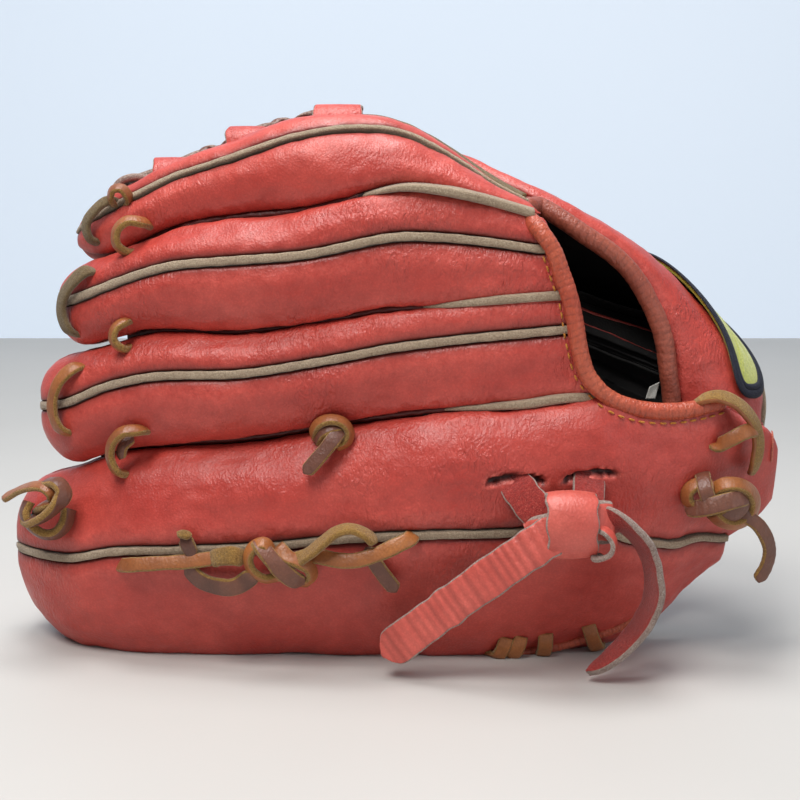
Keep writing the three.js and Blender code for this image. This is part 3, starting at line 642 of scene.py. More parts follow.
def finger_stations(name, end, step):
    f = FINGERS[name]
    tip = f["tip"] + f["round"] * tip_shares(20)
    rest = spread(end - f["tip"] - f["round"], step)[3:]
    return np.concatenate([tip, f["tip"] + f["round"] + rest])


HIDE = [RED, LINER, RED]
# The strap's slots: middle in x and z, half length, half height and slope.
SLOTS = [((44.5, 82), 9.5, 1.3, -0.02), ((73, 83.4), 8.5, 1.2, 0.12)]
SLOT_DEPTH = 4.2
FRONT = []


def cut_slots(p, height, cavity, worn):
    """Sinks the strap's slots into a panel's relief, each with a pale raised lip and painted shade
    inside.
    """
    for (sx, sz), length, tall, slope in SLOTS:
        dx = p[..., 0] - sx
        dz = p[..., 2] - sz - slope * dx + 0.016 * dx ** 2
        inside = np.clip((np.abs(dx) - length) / 2, 0, 9) ** 2 + (dz / tall) ** 2
        cut = np.exp(-inside ** 2)
        lip = np.exp(-(np.sqrt(inside) - 1.45) ** 2 / 0.12)
        height = height + 0.22 * lip - SLOT_DEPTH * cut
        cavity = np.maximum(cavity * (1 - lip), np.clip(cut * 3, 0, 1.17))
        worn = np.maximum(worn, 1.5 * lip)
    return height, cavity, worn


def half_panel(name, half):
    """One half of a finger's back, from the side seam to the ridge welt, with rounded cut edges."""
    end = RIDGE_END[name] if (name, half) == ("pinky", "lower") else PANEL_END[name]
    x = finger_stations(name, end, 1.5)[:, None]
    ridge = FINGERS[name]["ridge"](x)[..., 0]
    gap = np.where(x > RIDGE_END[name], 0, turn_for(name, x, ridge, WELT_WIDTH / 2 + 0.18))
    start, stop = (SEAM, ridge - gap) if half == "lower" else (ridge + gap, 1 - SEAM)
    middle_x = mix(FINGERS[name]["tip"], end, 0.5)
    line = skin(name, BACK, middle_x, np.linspace(0, 1, 60))
    width = way_along(line)[-1] * (0.55 if half == "lower" else 0.45)
    across = spread(width, 1.5)[None, :]
    turn = mix(start, stop, across / width)
    station, x = x, to_opening(name, x, turn)
    if name == "pinky":
        x = x - 7 * np.clip((turn - 0.78) / 0.22, 0, 1) ** 2 * np.clip((x - 120) / 34, 0, 1)
    p = skin(name, BACK, x, turn)
    arc = way_across(p)
    to_ridge = (arc[:, -1:] - arc) if half == "lower" else arc
    to_side = arc if half == "lower" else arc[:, -1:] - arc
    seam = np.minimum(to_ridge + np.where(station > RIDGE_END[name], 40, 0), to_side + 1.5)
    height, cavity = leather_relief(p, seam)
    fade = np.clip((end - station) / 8, 0.25, 1) * np.clip((x - FINGERS[name]["tip"]) / 20, 0.3, 1)
    height = height * fade
    worn = bump_at(seam - 5.5, 3.5) * 0.25
    lift = np.zeros(p.shape)
    if (name, half) == ("pinky", "upper"):
        height, cavity, worn = cut_slots(p, height, cavity, worn)
        near_binding = np.clip((x - 70) / 12, 0, 1) * np.clip((136 - x) / 10, 0, 1)
        rise = near_binding * np.clip((turn - 0.8) / 0.18, 0, 1) ** 2
        lift = rise[..., None] * np.array([0, -3.4, 4.0])
    drop = np.maximum(rim_drop(across, width, LEATHER / 2),
                      rim_drop(np.maximum(station, end - 30), end, LEATHER / 2) * (station > end - 20))
    outer = below(name, BACK, x, turn, drop - height) + lift
    inner = below(name, BACK, x, turn, LEATHER - drop - np.minimum(height, 1.5) * 0.9) + lift
    FRONT.append(outer.reshape(-1, 3))
    obj = thick_sheet(f"{name}_{half}_leather", outer, inner, HIDE, back_material=1, cavity=cavity,
                      wrinkle=creased(p), worn=worn)
    hang(obj, "finger_side", "leather", f"{name}_back_{half}_panel")


# A ridge welt's section: places across it, and how proud of the leather each one stands, in mm.
WELT_SIDE = np.array([-1.0, -0.97, -0.86, -0.5, 0, 0.5, 0.86, 0.97, 1.0])[None, :]
WELT_CROWN = np.array([-1.9, -0.35, 0.2, 0.42, 0.48, 0.42, 0.2, -0.35, -1.9])[None, :]
WELT_ROOT = 3.3
WELT_FACES = [WELT, LINER, WELT]


def ridge_welt(name):
    """The cut strip that stands in each finger's ridge: a flat fuzzy top with soft shoulders."""
    x = finger_stations(name, RIDGE_END[name], 1.3)[:, None]
    ridge = FINGERS[name]["ridge"](x)[..., 0]
    worn_thin = 0.72 if name == "index" else 1
    half = turn_for(name, x, ridge, WELT_WIDTH / 2) * worn_thin
    turn = ridge + WELT_SIDE * half * (1 + 0.05 * np.sin(x * 0.7))
    x = to_opening(name, x, turn)
    p = skin(name, BACK, x, turn)
    outer = below(name, BACK, x, turn, -WELT_CROWN - 0.10 * PUCKERS(p))
    inner = below(name, BACK, x, ridge + (turn - ridge) * 2.6, WELT_ROOT)
    # Painted shade on the strip's shoulders, deeper where they drop further below its crown.
    obj = thick_sheet(f"{name}_ridge_strip", outer, inner, WELT_FACES, back_material=1,
                      cavity=np.broadcast_to(np.clip(-WELT_CROWN, 0, 1), p.shape[:2]))
    hang(obj, "finger_side", "welt", f"{name}_ridge_welt")


for finger_name in NAMES:
    half_panel(finger_name, "lower")
    half_panel(finger_name, "upper")
    ridge_welt(finger_name)


def short_welt(name, seam, start, end):
    """A strip sewn into the groove between two fingers, from the crotch to the hand opening."""
    x = spread(end - start, 1.3)[:, None] + start
    edge = BACK_SEAMS[seam](x[:, 0])[:, None, :]
    rise = FINGERS[NAMES[seam]]["bulge"](x)[..., BACK]
    side = np.linspace(-1, 1, 9)[None, :]
    grown = np.clip((x - start) / (0.55 * (end - start)), 0, 1) ** 0.7
    top = mix(0.0, 0.95, grown) * rise + 0.5 - 0.7 * side ** 4

    def line(height, half):
        return np.stack([x + 0 * side, edge[..., 0] - height, edge[..., 1] + half * side], axis=-1)

    half = mix(0.5, 1.65, grown)
    obj = thick_sheet(f"{name}_strip", line(top, half), line(0.4 * rise - 3.5 + 0 * side, 1.5 * half),
                      WELT_FACES, back_material=1)
    hang(obj, "finger_side", "welt", name)


for strip in (("pinky_ring_short_welt", 1, 16, 78), ("ring_middle_short_welt", 2, 8, 62),
              ("middle_index_short_welt", 3, -16, 51)):
    short_welt(*strip)


def gusset(name, seam, start, end):
    """The sewn edges filling the narrow gap between two fingers from tips to crotch, all in painted
    shade.
    """
    x = mix(start, end, np.linspace(0, 1, 70))[:, None]
    edge = BACK_SEAMS[seam](x[:, 0])[:, None, :]
    reach = 5 * np.clip((x - start) / 14, 0.2, 1)
    side = np.linspace(-1, 1, 9)[None, :]
    ruffle = 0.25 * np.sin(x * 0.9 + 2 * side)
    half = 2.6 * np.sqrt(np.clip(1.02 - side ** 4, 0.05, 1))

    def face(sign):
        return np.stack([x + 0 * side, edge[..., 0] + 7 + 1.6 * reach * side,
                         edge[..., 1] + sign * half + ruffle], axis=-1)

    obj = thick_sheet(name, face(1), face(-1), [RED], cavity=1 + 0 * x * side)
    hang(obj, "finger_side", "leather")


for strip in (("pinky_ring_gusset", 1, -126, 74), ("ring_middle_gusset", 2, -112, 58),
              ("middle_index_gusset", 3, -100, 42)):
    gusset(*strip)


def end_cap(name, ring, body, lift):
    """Leather that closes a fingertip: a shallow dome over a closed ring of points."""
    ring = np.vstack([ring, ring[:1]])
    centre = ring[:-1].mean(0)
    share = np.linspace(0.02, 1, 9)[:, None, None]
    dome = centre + (ring[None] - centre) * share + np.array(lift) * (1 - share ** 2)
    dome += 0.25 * PUCKERS(dome)[..., None] * unit(lift)
    # Painted shade darkens the dome toward its rim, where it meets the finger.
    cavity = np.broadcast_to(0.5 * share[..., 0] ** 3, dome.shape[:2])
    obj = thick_sheet(name, dome, dome - unit(lift) * 1.6, [RED], cavity=cavity)
    hang(obj, body, "leather")


CAP_TURNS = np.linspace(0.01, 0.99, 26)
CAP_DEPTH = 1.3
for finger_name in NAMES:
    tip_x = FINGERS[finger_name]["tip"] + 0.14 * FINGERS[finger_name]["round"]
    tip_ring = np.vstack([below(finger_name, BACK, tip_x, CAP_TURNS, CAP_DEPTH),
                          below(finger_name, PALM, tip_x, CAP_TURNS[::-1], CAP_DEPTH)])
    end_cap(f"{finger_name}_tip_cap", tip_ring, "finger_side", (-2.4, 0, 0))


# ---------- palm and linings ----------
def hand_sheet(name, node, material, slot, side, top, bottom, crotch, ends, step, relief, edge=SEAM):
    """One sheet over all four fingers, slit between them and whole past the crotches."""
    per = round(44 / step)
    body_rows = round(230 / step)
    tip_share = tip_shares(max(7, round(26 / step)))
    outer, inner, cavity = [], [], []
    for k, finger_name in enumerate(NAMES):
        f = FINGERS[finger_name]
        share = np.linspace(0, 1, per + 1)[None, :]
        end = mix(ends[k], ends[k + 1], share)
        body = mix(f["tip"] + f["round"], end, np.linspace(0, 1, body_rows + 1)[1:, None])
        tip = f["tip"] + f["round"] * tip_share[:, None] + 0 * share
        x = np.vstack([tip, body])
        turn = mix(edge, 1 - edge, share) + 0 * x
        p = skin(finger_name, side, x, turn)
        arc = way_across(p)
        seam = np.minimum(arc, arc[:, -1:] - arc)
        row = np.arange(len(x))[:, None]
        slit = np.clip((len(tip) + crotch * body_rows - row) / 8, 0, 1)
        outer_edge = np.minimum(*[np.where(cond, d, 99) for cond, d in
                                  ((k == 0, arc), (k == 3, arc[:, -1:] - arc))])
        distance = np.minimum(mix(30, seam, slit), outer_edge + 2)
        deeper = 3.6 if (side, finger_name) == (BACK, "pinky") else 0
        # Painted shade: leather sheets along their seams and slits, linings evenly all over.
        height, dark = leather_relief(p, distance) if relief else (0.12 * PUCKERS(p), 0.3 + 0 * x)
        height = height * np.clip((len(x) - row) / 10, 0.2, 1)
        drop = np.minimum((bottom - top) * 0.42, 1.1 * np.exp(-distance * 1.2) * slit)
        drop = np.maximum(drop, np.where(row >= len(x) - 1, (bottom - top) * 0.35, 0))
        outer.append(below(finger_name, side, x, turn, top + deeper + drop - height))
        inner.append(below(finger_name, side, x, turn, bottom + deeper - drop - np.minimum(height,
                     1) * 0.9))
        cavity.append(dark)
    outer, inner, cavity = (np.concatenate(v, axis=1) for v in (outer, inner, cavity))
    keep = np.ones((outer.shape[0] - 1, outer.shape[1] - 1), bool)
    for k in range(1, 4):
        keep[:round(len(tip_share) - 1 + crotch * body_rows), k * (per + 1) - 1] = False
    obj = thick_sheet(name, outer, inner, [material, LINER, LINER], keep, 1, cavity=cavity,
                      wrinkle=creased(outer) if relief else 0.25 * np.ones(cavity.shape))
    hang(obj, "finger_side", slot, node)


HEEL_ENDS = [104, 126, 131, 133, 129]
hand_sheet("palm_leather", "palm_shell", RED, "leather", PALM, 0, 2.6, 0.55, HEEL_ENDS, 2.0, True)
hand_sheet("palm_liner", "palm_lining", LINER, "lining", PALM, 5.8, 7.1, 0.55,
           [92, 112, 118, 120, 118], 4.5, False, 0.07)
hand_sheet("back_liner", "back_lining", LINER, "lining", BACK, 4.3, 5.6, 0.72,
           [90, 60, 56, 50, 44], 4.5, False, 0.07)


# ---------- pads and stiffeners ----------
def pad(name, node, body, place, depth, thick):
    """A felt pad: a crowned block with rounded sides, following the leather over it."""
    s, t = np.meshgrid(np.linspace(0, 1, 25), np.linspace(0, 1, 25), indexing="ij")
    crown = np.sqrt((1 - np.abs(2 * s - 1) ** 4) * (1 - np.abs(2 * t - 1) ** 4))
    middle = depth + thick / 2
    swell = thick / 2 * (0.18 + 0.80 * crown) + 0.15 * PUCKERS(place(s, t, middle)) * crown
    obj = thick_sheet(name, place(s, t, middle - swell), place(s, t, middle + swell), [FELT])
    hang(obj, body, "padding", node)


def in_finger(name, x0, x1, turn0, turn1):
    """A pad's place under a finger's palm skin, narrowing toward both ends."""
    def place(s, t, depth):
        rounded = 0.12 * np.abs(2 * s - 1) ** 3
        return below(name, PALM, mix(x0, x1, s), mix(turn0 + rounded, turn1 - rounded, t), depth)
    return place


def in_thumb(s, t, depth):
    return thumb_below(PALM, mix(0.16, 0.44, s), mix(0.22, 0.64, t), depth)


PAD_DEPTH = 8.5
pad("palm_felt", "palm_pad", "finger_side", in_finger("ring", 24, 104, 0.12, 0.92), PAD_DEPTH, 6)
pad("pinky_heel_felt", "pinky_heel_pad", "finger_side", in_finger("pinky", 10, 86, 0.24, 0.86), PAD_DEPTH,
    9)
pad("thumb_heel_felt", "thumb_heel_pad", "thumb_side", in_thumb, PAD_DEPTH, 6)
for node in ("pinky_stiffener", "thumb_stiffener"):
    frame["nodes"][node].data.materials.clear()
    frame["nodes"][node].data.materials.append(PLASTIC)


# ---------- thumb ----------
# About how long the thumb is from u = 0 to 1, and how wide from one seam to the other, in mm.
THUMB_LENGTH, THUMB_TURN = 300, 62


def thumb_sheet(name, nodes, material, slot, side, us, turns, top, bottom, step=1.6, relief=True,
                ridge=None):
    """A panel of the thumb over ranges of u and turn; ridge says which long side meets the welt."""
    length, width = THUMB_LENGTH * (us[1] - us[0]), THUMB_TURN * (turns[1] - turns[0])
    u = us[0] + spread(length, step)[:, None] / THUMB_LENGTH
    turn = turns[0] + spread(width, step)[None, :] / THUMB_TURN
    p = thumb_skin(side, u, turn)
    arc = way_across(p)
    to_low = arc + (0 if ridge == "low" else 1.5)
    to_high = arc[:, -1:] - arc + (0 if ridge == "high" else 1.5)
    seam = np.minimum(to_low, to_high)
    # Painted shade: leather panels along their seams, linings evenly all over.
    height, cavity = leather_relief(p, seam) if relief else (0.1 * PUCKERS(p), 0.3 + 0 * seam)
    height = height * np.clip(np.minimum(u - us[0], us[1] - u) * THUMB_LENGTH / 9, 0.2, 1)
    drop = np.maximum(rim_drop(spread(width, step)[None, :], width, (bottom - top) / 2),
                      rim_drop(spread(length, step)[:, None], length, (bottom - top) / 2))
    obj = thick_sheet(name, thumb_below(side, u, turn, top + drop - height),
                      thumb_below(side, u, turn, bottom - drop - np.minimum(height, 1.2) * 0.9),
                      [material, LINER, material], None, 1, cavity=cavity, wrinkle=creased(p),
                      worn=bump_at(seam - 5.5, 3.5) * 0.25)
    hang(obj, "thumb_side", slot, *nodes)


RIDGE_GAP = 0.019
thumb_sheet("thumb_inner_leather", ["thumb_back_inner_panel"], RED, "leather", BACK, (0, 1),
            (0.0, THUMB_RIDGE - RIDGE_GAP), 0, LEATHER, ridge="high")
thumb_sheet("thumb_back_liner", [], LINER, "lining", BACK, (0.03, 0.97), (0.03, 0.94), 5.9, 6.9, 4, False)
thumb_sheet("thumb_outer_leather", ["thumb_back_outer_panel"], RED, "leather", BACK, (0, 1),
            (THUMB_RIDGE + RIDGE_GAP, 0.992), 0, LEATHER, ridge="low")
thumb_sheet("thumb_palm_leather", ["thumb_palm_shell"], RED, "leather", PALM, (0, 1), (0.012, 0.992), 0,
            LEATHER)
thumb_sheet("thumb_liner", ["thumb_lining"], LINER, "lining", PALM, (1 / 7, 13 / 14), (0.132, 0.868),
            4.4, 5.7, 4, False)
thumb_ring = np.vstack([thumb_below(BACK, 0.985, CAP_TURNS, CAP_DEPTH),
                        thumb_below(PALM, 0.985, CAP_TURNS[::-1], CAP_DEPTH)])
end_cap("thumb_tip_cap", thumb_ring, "thumb_side", 2.0 * unit(NEAR(1.0) - NEAR(0.9)))


def thumb_welt():
    """The cut strip in the thumb's ridge, rooted on a wider flange under the leather."""
    u = np.linspace(0, 1, 230)[:, None]
    turn = THUMB_RIDGE + 0.0165 * WELT_SIDE
    flange = THUMB_RIDGE + 0.045 * WELT_SIDE
    obj = thick_sheet("thumb_ridge_strip", thumb_below(BACK, u, turn, -WELT_CROWN),
                      thumb_below(BACK, u, flange, WELT_ROOT), WELT_FACES, back_material=1)
    hang(obj, "thumb_side", "welt", "thumb_ridge_welt")


thumb_welt()


# ---------- swept pieces ----------
def frames_along(line, faces):
    """The flat side's direction along a line, as near as it can be to faces, and the one across."""
    along = unit(np.gradient(line, axis=0))
    faces = np.array(faces, float).reshape(-1, 3)
    share = np.linspace(0, 1, len(line))
    at = np.linspace(0, 1, len(faces)) if len(faces) > 1 else np.array([0.0])
    wanted = np.stack([np.interp(share, at, faces[:, c]) for c in range(3)], axis=1)
    up = unit(wanted - along * np.sum(wanted * along, axis=1, keepdims=True))
    return up, unit(np.cross(along, up))


CORNER, CROWN = 0.42, 0.12


def section(width, thick):
    """Points (across, up) round a flat strip with rounded corners and a crowned face."""
    half, up = width / 2, thick / 2
    r = min(CORNER * thick, up * 0.95)
    points = []
    for sx, sy, start in ((1, -1, -90), (1, 1, 0), (-1, 1, 90), (-1, -1, 180)):
        for angle in np.radians([start, start + 30, start + 60, start + 90]):
            points.append((sx * (half - r) + r * math.cos(angle), sy * (up - r) + r * math.sin(angle)))
        if (sx, sy) in ((1, 1), (-1, -1)):
            for t in (0.5,) if width < 4 else (0.2, 0.5, 0.8):
                x = mix(sy, -sy, t) * (half - r)
                points.append((x, sy * up * (1 + CROWN * (1 - (2 * t - 1) ** 2))))
    return np.array(points)


def swept(name, p, line, shading, side_slots, materials, body, slot, nodes):
    """Closes the rings of points p round a line into one piece with a cap at each end."""
    rows, sides = p.shape[:2]
    ids = np.arange(rows * sides).reshape(rows, sides)
    after = np.roll(ids, -1, axis=1)
    quads = np.stack([ids[:-1], after[:-1], after[1:], ids[1:]], axis=-1).reshape(-1, 4)
    caps = [(a, b, tip, tip) for ring, tip in ((ids[0], rows * sides), (ids[-1], rows * sides + 1))
            for a, b in zip(ring, np.roll(ring, -1))]
    points = np.vstack([p.reshape(-1, 3), line[:1], line[-1:]])
    faces = outward(points, np.vstack([quads, np.array(caps)]))
    slots = np.concatenate([np.tile(side_slots, rows - 1), np.full(len(caps), 1)])
    cavity, wrinkle = shading
    obj = make(name, points, faces, materials, slots, np.append(cavity, [0, 0]),
               np.full(len(points), wrinkle))
    hang(obj, body, slot, *nodes)
    return obj


def ribbon(name, route, faces, width=LACE_WIDTH, thick=LACE_THICK, step=1.0, materials=None,
           girth=None, waves_high=0.0, ribs=0.0, rib_pitch=2.2, rounded_end=True, cup=0.0,
           node=None, body="finger_side", slot="lace"):
    """A flat lace or strap along a route: grain faces, suede edges, a little lift and cupping."""
    length = way_along(smooth_line(route, 60))[-1]
    count = max(12, round(length / step))
    line = smooth_line(route, count)
    up, across = frames_along(line, faces)
    share = np.linspace(0, 1, count)
    size = np.ones(count)
    if girth:
        size = track(list(zip(np.linspace(0, 1, len(girth)), girth)))(share)[:, 0]
    shape = section(width, thick)
    narrow = size * (1 + 0.035 * LACE_WAVES(line))
    if rounded_end:
        from_end = np.minimum(share, 1 - share) * length
        narrow = narrow * np.clip(1 - np.clip(1 - from_end / (0.42 * width), 0, 1) ** 2.4, 0.16, 1)
    phase = 2 * math.pi * share * length / rib_pitch + 1.6 * LACE_WAVES(line * 0.45)
    relief = (ribs * 0.5 * np.sin(phase) * (1 + 0.5 * LACE_WAVES(line * 0.3))
              + waves_high * LACE_WAVES(line * 0.8))
    sideways = shape[None, :, :1]
    height = shape[None, :, 1:] + relief[:, None, None] - cup * (sideways / width * 2) ** 2
    p = line[:, None] + across[:, None] * sideways * narrow[:, None, None] + up[:, None] * height
    p[..., 2] = np.maximum(p[..., 2], GROUND)
    # Painted shade in the troughs between the ribs.
    rib_painted_shade = np.repeat(np.clip(-relief * 0.7, 0, 0.4), len(shape))
    tilt = np.abs(np.diff(np.vstack([shape, shape[:1]]), axis=0))
    is_edge = tilt[:, 1] > tilt[:, 0] * 0.8
    side_slots = np.where(is_edge, 1, np.where(shape[:, 1] + np.roll(shape[:, 1], -1) > 0, 0, 2))
    materials = materials or [LACE, EDGE, LACE]
    nodes = [node] if node else []
    return swept(name, p, line, (rib_painted_shade, 0.35), side_slots, materials, body, slot, nodes), line


def roll(name, route, radius, material, node, body, ribs=0.16, pitch=2.6):
    """A rolled edge: a round tube with the cross wrinkles of leather bent over a cord."""
    length = way_along(smooth_line(route, 80))[-1]
    count, sides = round(length / 0.55), 22
    line = smooth_line(route, count)
    up, across = frames_along(line, (0, -1, 0))
    angle = np.linspace(0, 2 * math.pi, sides, endpoint=False)
    ring = across[:, None] * np.cos(angle)[None, :, None] + up[:, None] * np.sin(angle)[None, :, None]
    p = line[:, None] + radius * ring
    share = np.linspace(0, 1, count)[:, None]
    drift = share * length / pitch + 0.35 * FOLDS(p) + 0.22 * np.sin(angle)[None, :]
    rib = np.abs(np.sin(math.pi * drift)) ** 0.6 - 0.6
    swell = rib * ribs * (0.6 + 0.4 * LUMPS(p * 2)) + 0.10 * FOLDS(p) + 0.06 * PUCKERS(p)
    tip = np.clip(np.minimum(share, 1 - share) * length / radius, 0, 1)
    ends = np.sqrt(np.clip(1 - (1 - tip) ** 2, 0.02, 1))
    p = line[:, None] + (radius + swell)[..., None] * ring * ends[..., None]
    p[..., 2] = np.maximum(p[..., 2], GROUND)
    # Painted shade in the troughs of the cross wrinkles.
    dark = np.clip(-rib * 0.9, 0, 0.5)
    swept(name, p, line, (dark, 0.5), np.zeros(sides), [material, material], body, "binding", [node])


def stitches(name, points, directions, length, radius, body, material, lift):
    """A row of short sewn stitches as one mesh: each a fat little capsule, sunk at both ends."""
    points, directions = np.asarray(points, float), unit(directions)
    s = np.linspace(-1, 1, 7)[None, :, None, None]
    angle = np.linspace(0, 2 * math.pi, 8, endpoint=False)[None, None, :, None]
    side = unit(np.cross(directions, np.broadcast_to(unit(lift), points.shape)))
    up = unit(np.cross(side, directions))
    girth = radius * np.sqrt(np.clip(1 - np.abs(s) ** 4, 0.04, 1))
    p = (points[:, None, None] + directions[:, None, None] * s * length / 2
         + up[:, None, None] * (0.35 * radius * (1 - s ** 2) * 2)
         + girth * (np.cos(angle) * side[:, None, None] + np.sin(angle) * up[:, None, None]))
    ids = np.arange(p[..., 0].size).reshape(p.shape[:3])
    after = np.roll(ids, -1, axis=2)
    quads = np.stack([ids[:, :-1], after[:, :-1], after[:, 1:], ids[:, 1:]], axis=-1).reshape(-1, 4)
    caps = []
    for stitch in ids:
        for ring in (stitch[0][::-1], stitch[-1]):
            caps += [(ring[0], ring[1], ring[2], ring[3]), (ring[0], ring[3], ring[4], ring[7]),
                     (ring[4], ring[5], ring[6], ring[7])]
    faces = outward(p.reshape(-1, 3), np.vstack([quads, np.array(caps)]))
    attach(make(name, p, faces, [material]), body)


# ---------- edges of the hand opening ----------
BINDING = [(49, 5, 178.5), (49.6, -2.5, 179), (53.2, -7.4, 175), (57.8, -9.4, 168), (61.5, -10.2, 158),
           (65, -11.5, 148), (68, -12, 132), (72, -12, 120), (80, -12, 112), (91, -11, 107.5),
           (103, -10, 106), (115, -8, 107), (127, -4, 109.5)]
roll("opening_roll", BINDING, BINDING_RADIUS, ROLL, "opening_binding", "finger_side")
thumb_roll_route = np.vstack([NEAR(np.array([0.07, 0.14, 0.22, 0.3, 0.38, 0.45])) + [-1.6, -2.2, -1.0],
                              [(51.6, 13.8, 183.6), (47.4, 10.8, 184.6)]])
roll("thumb_roll", thumb_roll_route, 3.7, BROWN_ROLL, "thumb_edge_roll", "thumb_side")


STITCH_PITCH = 3.9


def binding_stitches():
    """Stitches just outside the binding, on whichever panel lies there."""
    line = smooth_line(BINDING, 400)
    way = way_along(line)
    along = unit(np.gradient(line, axis=0))
    outside = unit(np.cross(along, np.array([0, -1, 0])))
    outside *= np.sign(np.dot(outside[len(line) // 2], np.array([-1, 0, -0.6])))
    pick = [int(np.argmin(np.abs(way - at))) for at in np.arange(26, way[-1] - 3, STITCH_PITCH)]
    places = line[pick] + outside[pick] * 4.3
    front = np.vstack(FRONT)
    for place in places:
        gap = (front[:, 0] - place[0]) ** 2 + (front[:, 2] - place[2]) ** 2
        close = front[gap < max(2.0, gap.min() * 1.5)]
        place[1] = close[:, 1].min() - 0.12
    stitches("opening_stitches", places, along[pick], 2.7, 0.42, "finger_side", THREAD, (0, -1, 0))


binding_stitches()


# ---------- the web ----------
BAND_PLACES = (0.13, 0.435, 0.71, 0.89)
BAND_HALF = 0.085


# How far a web piece dips where the other bands cross it, and how high it lies.
BAND_LIFT, BAND_DIP, LONG_BAND_LIFT = 4.6, 2.4, 0.8
WEB_LENGTH, WEB_WIDTH, WEB_THICK = 106, 70, 2.6


def band_lift(s):
    return BAND_LIFT - BAND_DIP * (bump_at(s - 0.27, 0.07) + bump_at(s - 0.62, 0.07))


def web_piece(name, nodes, us, shares, base):
    """A strip of the web over a range of u and share."""
    count = max(3, round((us[1] - us[0]) * WEB_LENGTH / 1.6))
    u = np.array([us[0], us[0] + 0.006, *np.linspace(us[0] + 0.016, us[1] - 0.016, count),
                  us[1] - 0.006, us[1]])[:, None]
    s = shares[0] + spread(WEB_WIDTH * (shares[1] - shares[0]), 1.6)[None, :] / WEB_WIDTH
    from_middle = np.abs(2 * (u - us[0]) / (us[1] - us[0]) - 1)
    lift = base(s) + 0.25 * FOLDS(web(u, s, 0)) - 0.8 * from_middle ** 6
    obj = thick_sheet(name, web(u, s, lift), web(u, s, lift - WEB_THICK), [RED, CUT],
                      cavity=0 * lift, wrinkle=0.5 + 0 * lift, worn=0.2 + 0 * lift)
    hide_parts(*nodes)
    bend(obj)


def bend(obj):
    """Bakes the piece's place into its mesh points."""
    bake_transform(obj)


for k, middle in enumerate(BAND_PLACES):
    web_piece(f"web_band_{k + 1}", (f"web_index_band_{k + 1}", f"web_thumb_band_{k + 1}"),
              (middle - BAND_HALF, middle + BAND_HALF), (0.0, 1.0), band_lift)
for k, (node, share) in enumerate((("web_index_long_band", 0.218), ("web_thumb_long_band", 0.622))):
    web_piece(f"web_long_band_{k + 1}", (node,), (0.03, 0.97), (share, share + 0.16),
              lambda s: LONG_BAND_LIFT)

# ---------- the palm's fold ----------
FOLD_X = track([[0, 130], [0.1, 121], [0.2, 101], [0.3, 74], [0.4, 47], [0.5, 20], [0.6, -2],
                [0.68, -15]])


def fold_strip(name, material, depths, turns, sag, thick):
    """Leather or lining that bridges the fold, tucked under the sheets on both sides of it."""
    u = np.linspace(0.004, 0.67, 150)
    x = FOLD_X(u)[:, 0]
    rows = []
    for k in range(len(u)):
        a = [below("index", PALM, x[k], t, d) for t, d in zip(turns[0], depths[0])]
        b = [thumb_below(PALM, u[k], t, d) for t, d in zip(turns[1], depths[1])]
        middle = (a[-1] + b[0]) / 2 + np.array(sag)
        rows.append(smooth_line([*a, middle, *b], 22))
    p = np.stack(rows)
    p += 0.25 * FOLDS(p)[..., None] * np.array([0, 0.7, 0.7])
    normal = unit(np.cross(np.gradient(p, axis=0), np.gradient(p, axis=1)))
    flat = np.zeros(p.shape[:2])
    # An even painted shade all over the strip, for the hollow of the fold.
    obj = thick_sheet(name, p + normal * thick / 2, p - normal * thick / 2, [material, LINER, LINER],
                      back_material=1, cavity=flat + 0.12, wrinkle=flat + 0.7)
    bend(obj)


fold_strip("palm_fold_leather", RED, ((3.4, 1.9), (1.9, 3.6)), ((0.90, 0.975), (0.05, 0.12)),
           (0, -0.8, -0.8), 1.5)
fold_strip("palm_fold_liner", LINER, ((8.4, 8.0), (6.9, 7.2)), ((0.88, 0.93), (0.14, 0.2)),
           (0, -3, -3), 1.2)


# ---------- the laces ----------
def free_end(name, node, route, faces, width, lay, **how):
    """A ribbon that leaves its knot and ends free."""
    obj, line = ribbon(name, route, faces, node=node, width=width, **how)


def lace(name, node, route, faces=((0, -1, 0),), around=None, tilt=(0, 0, 0), **how):
    """A lace; around is a centre (x, z) that a knot's loop goes round with its edge to the viewer."""
    if around:
        line = smooth_line(route, 24)
        faces = unit((line - [around[0], 0, around[1]]) * [1, 0, 1]) + np.array(tilt) + [0, -0.38, 0]
        how = {"thick": 2.9, **how}
    return ribbon(name, route, faces, node=node, **how)[0]


DARK = dict(materials=[DARK_LACE, EDGE, DARK_LACE])
BARE_END = dict(materials=[EDGE, EDGE, EDGE])
FLESH_UP = dict(materials=[OLIVE, OLIVE, OLIVE])
lace("ring_tip_thong", "ring_tip_lace", [(-127, 21, 119), (-131, 15, 119.5), (-136.5, 13.6, 115),
     (-140, 14.2, 108), (-140.6, 14.6, 101), (-138, 14, 94.5), (-134, 17, 91.5)],
     [(-0.4, -0.9, 0.5), (-0.65, -0.75, 0.1), (-0.6, -0.78, -0.3)])
lace("middle_tip_thong", "middle_tip_lace", [(-121, 23, 157), (-125.5, 17, 158), (-131.5, 17.4, 153),
     (-135.8, 19.4, 146.5), (-136.5, 20.2, 140), (-134, 19.6, 134), (-130, 24, 131)],
     [(-0.4, -0.9, 0.5), (-0.7, -0.7, 0.1), (-0.6, -0.75, -0.3)], **FLESH_UP)
lace("index_tip_thong", "index_tip_lace", [(-113, 31, 183), (-117.5, 25.5, 185.5), (-123, 25.4, 181.5),
     (-126.8, 26.8, 176), (-125.6, 26.8, 170.4), (-121.5, 30, 168)],
     [(-0.4, -0.9, 0.5), (-0.7, -0.7, 0.1), (-0.6, -0.75, -0.3)], **FLESH_UP, width=4.6)
lace("index_middle_thong", "index_middle_lace", [(-100, 23, 176), (-102.5, 15.5, 177.5),
     (-107.5, 13.5, 178), (-111.6, 13.5, 174.5), (-112, 13.5, 169), (-108.5, 16, 165.5), (-105, 22, 166)],
     around=(-106.5, 172), tilt=(-0.15, -0.25, 0.1))
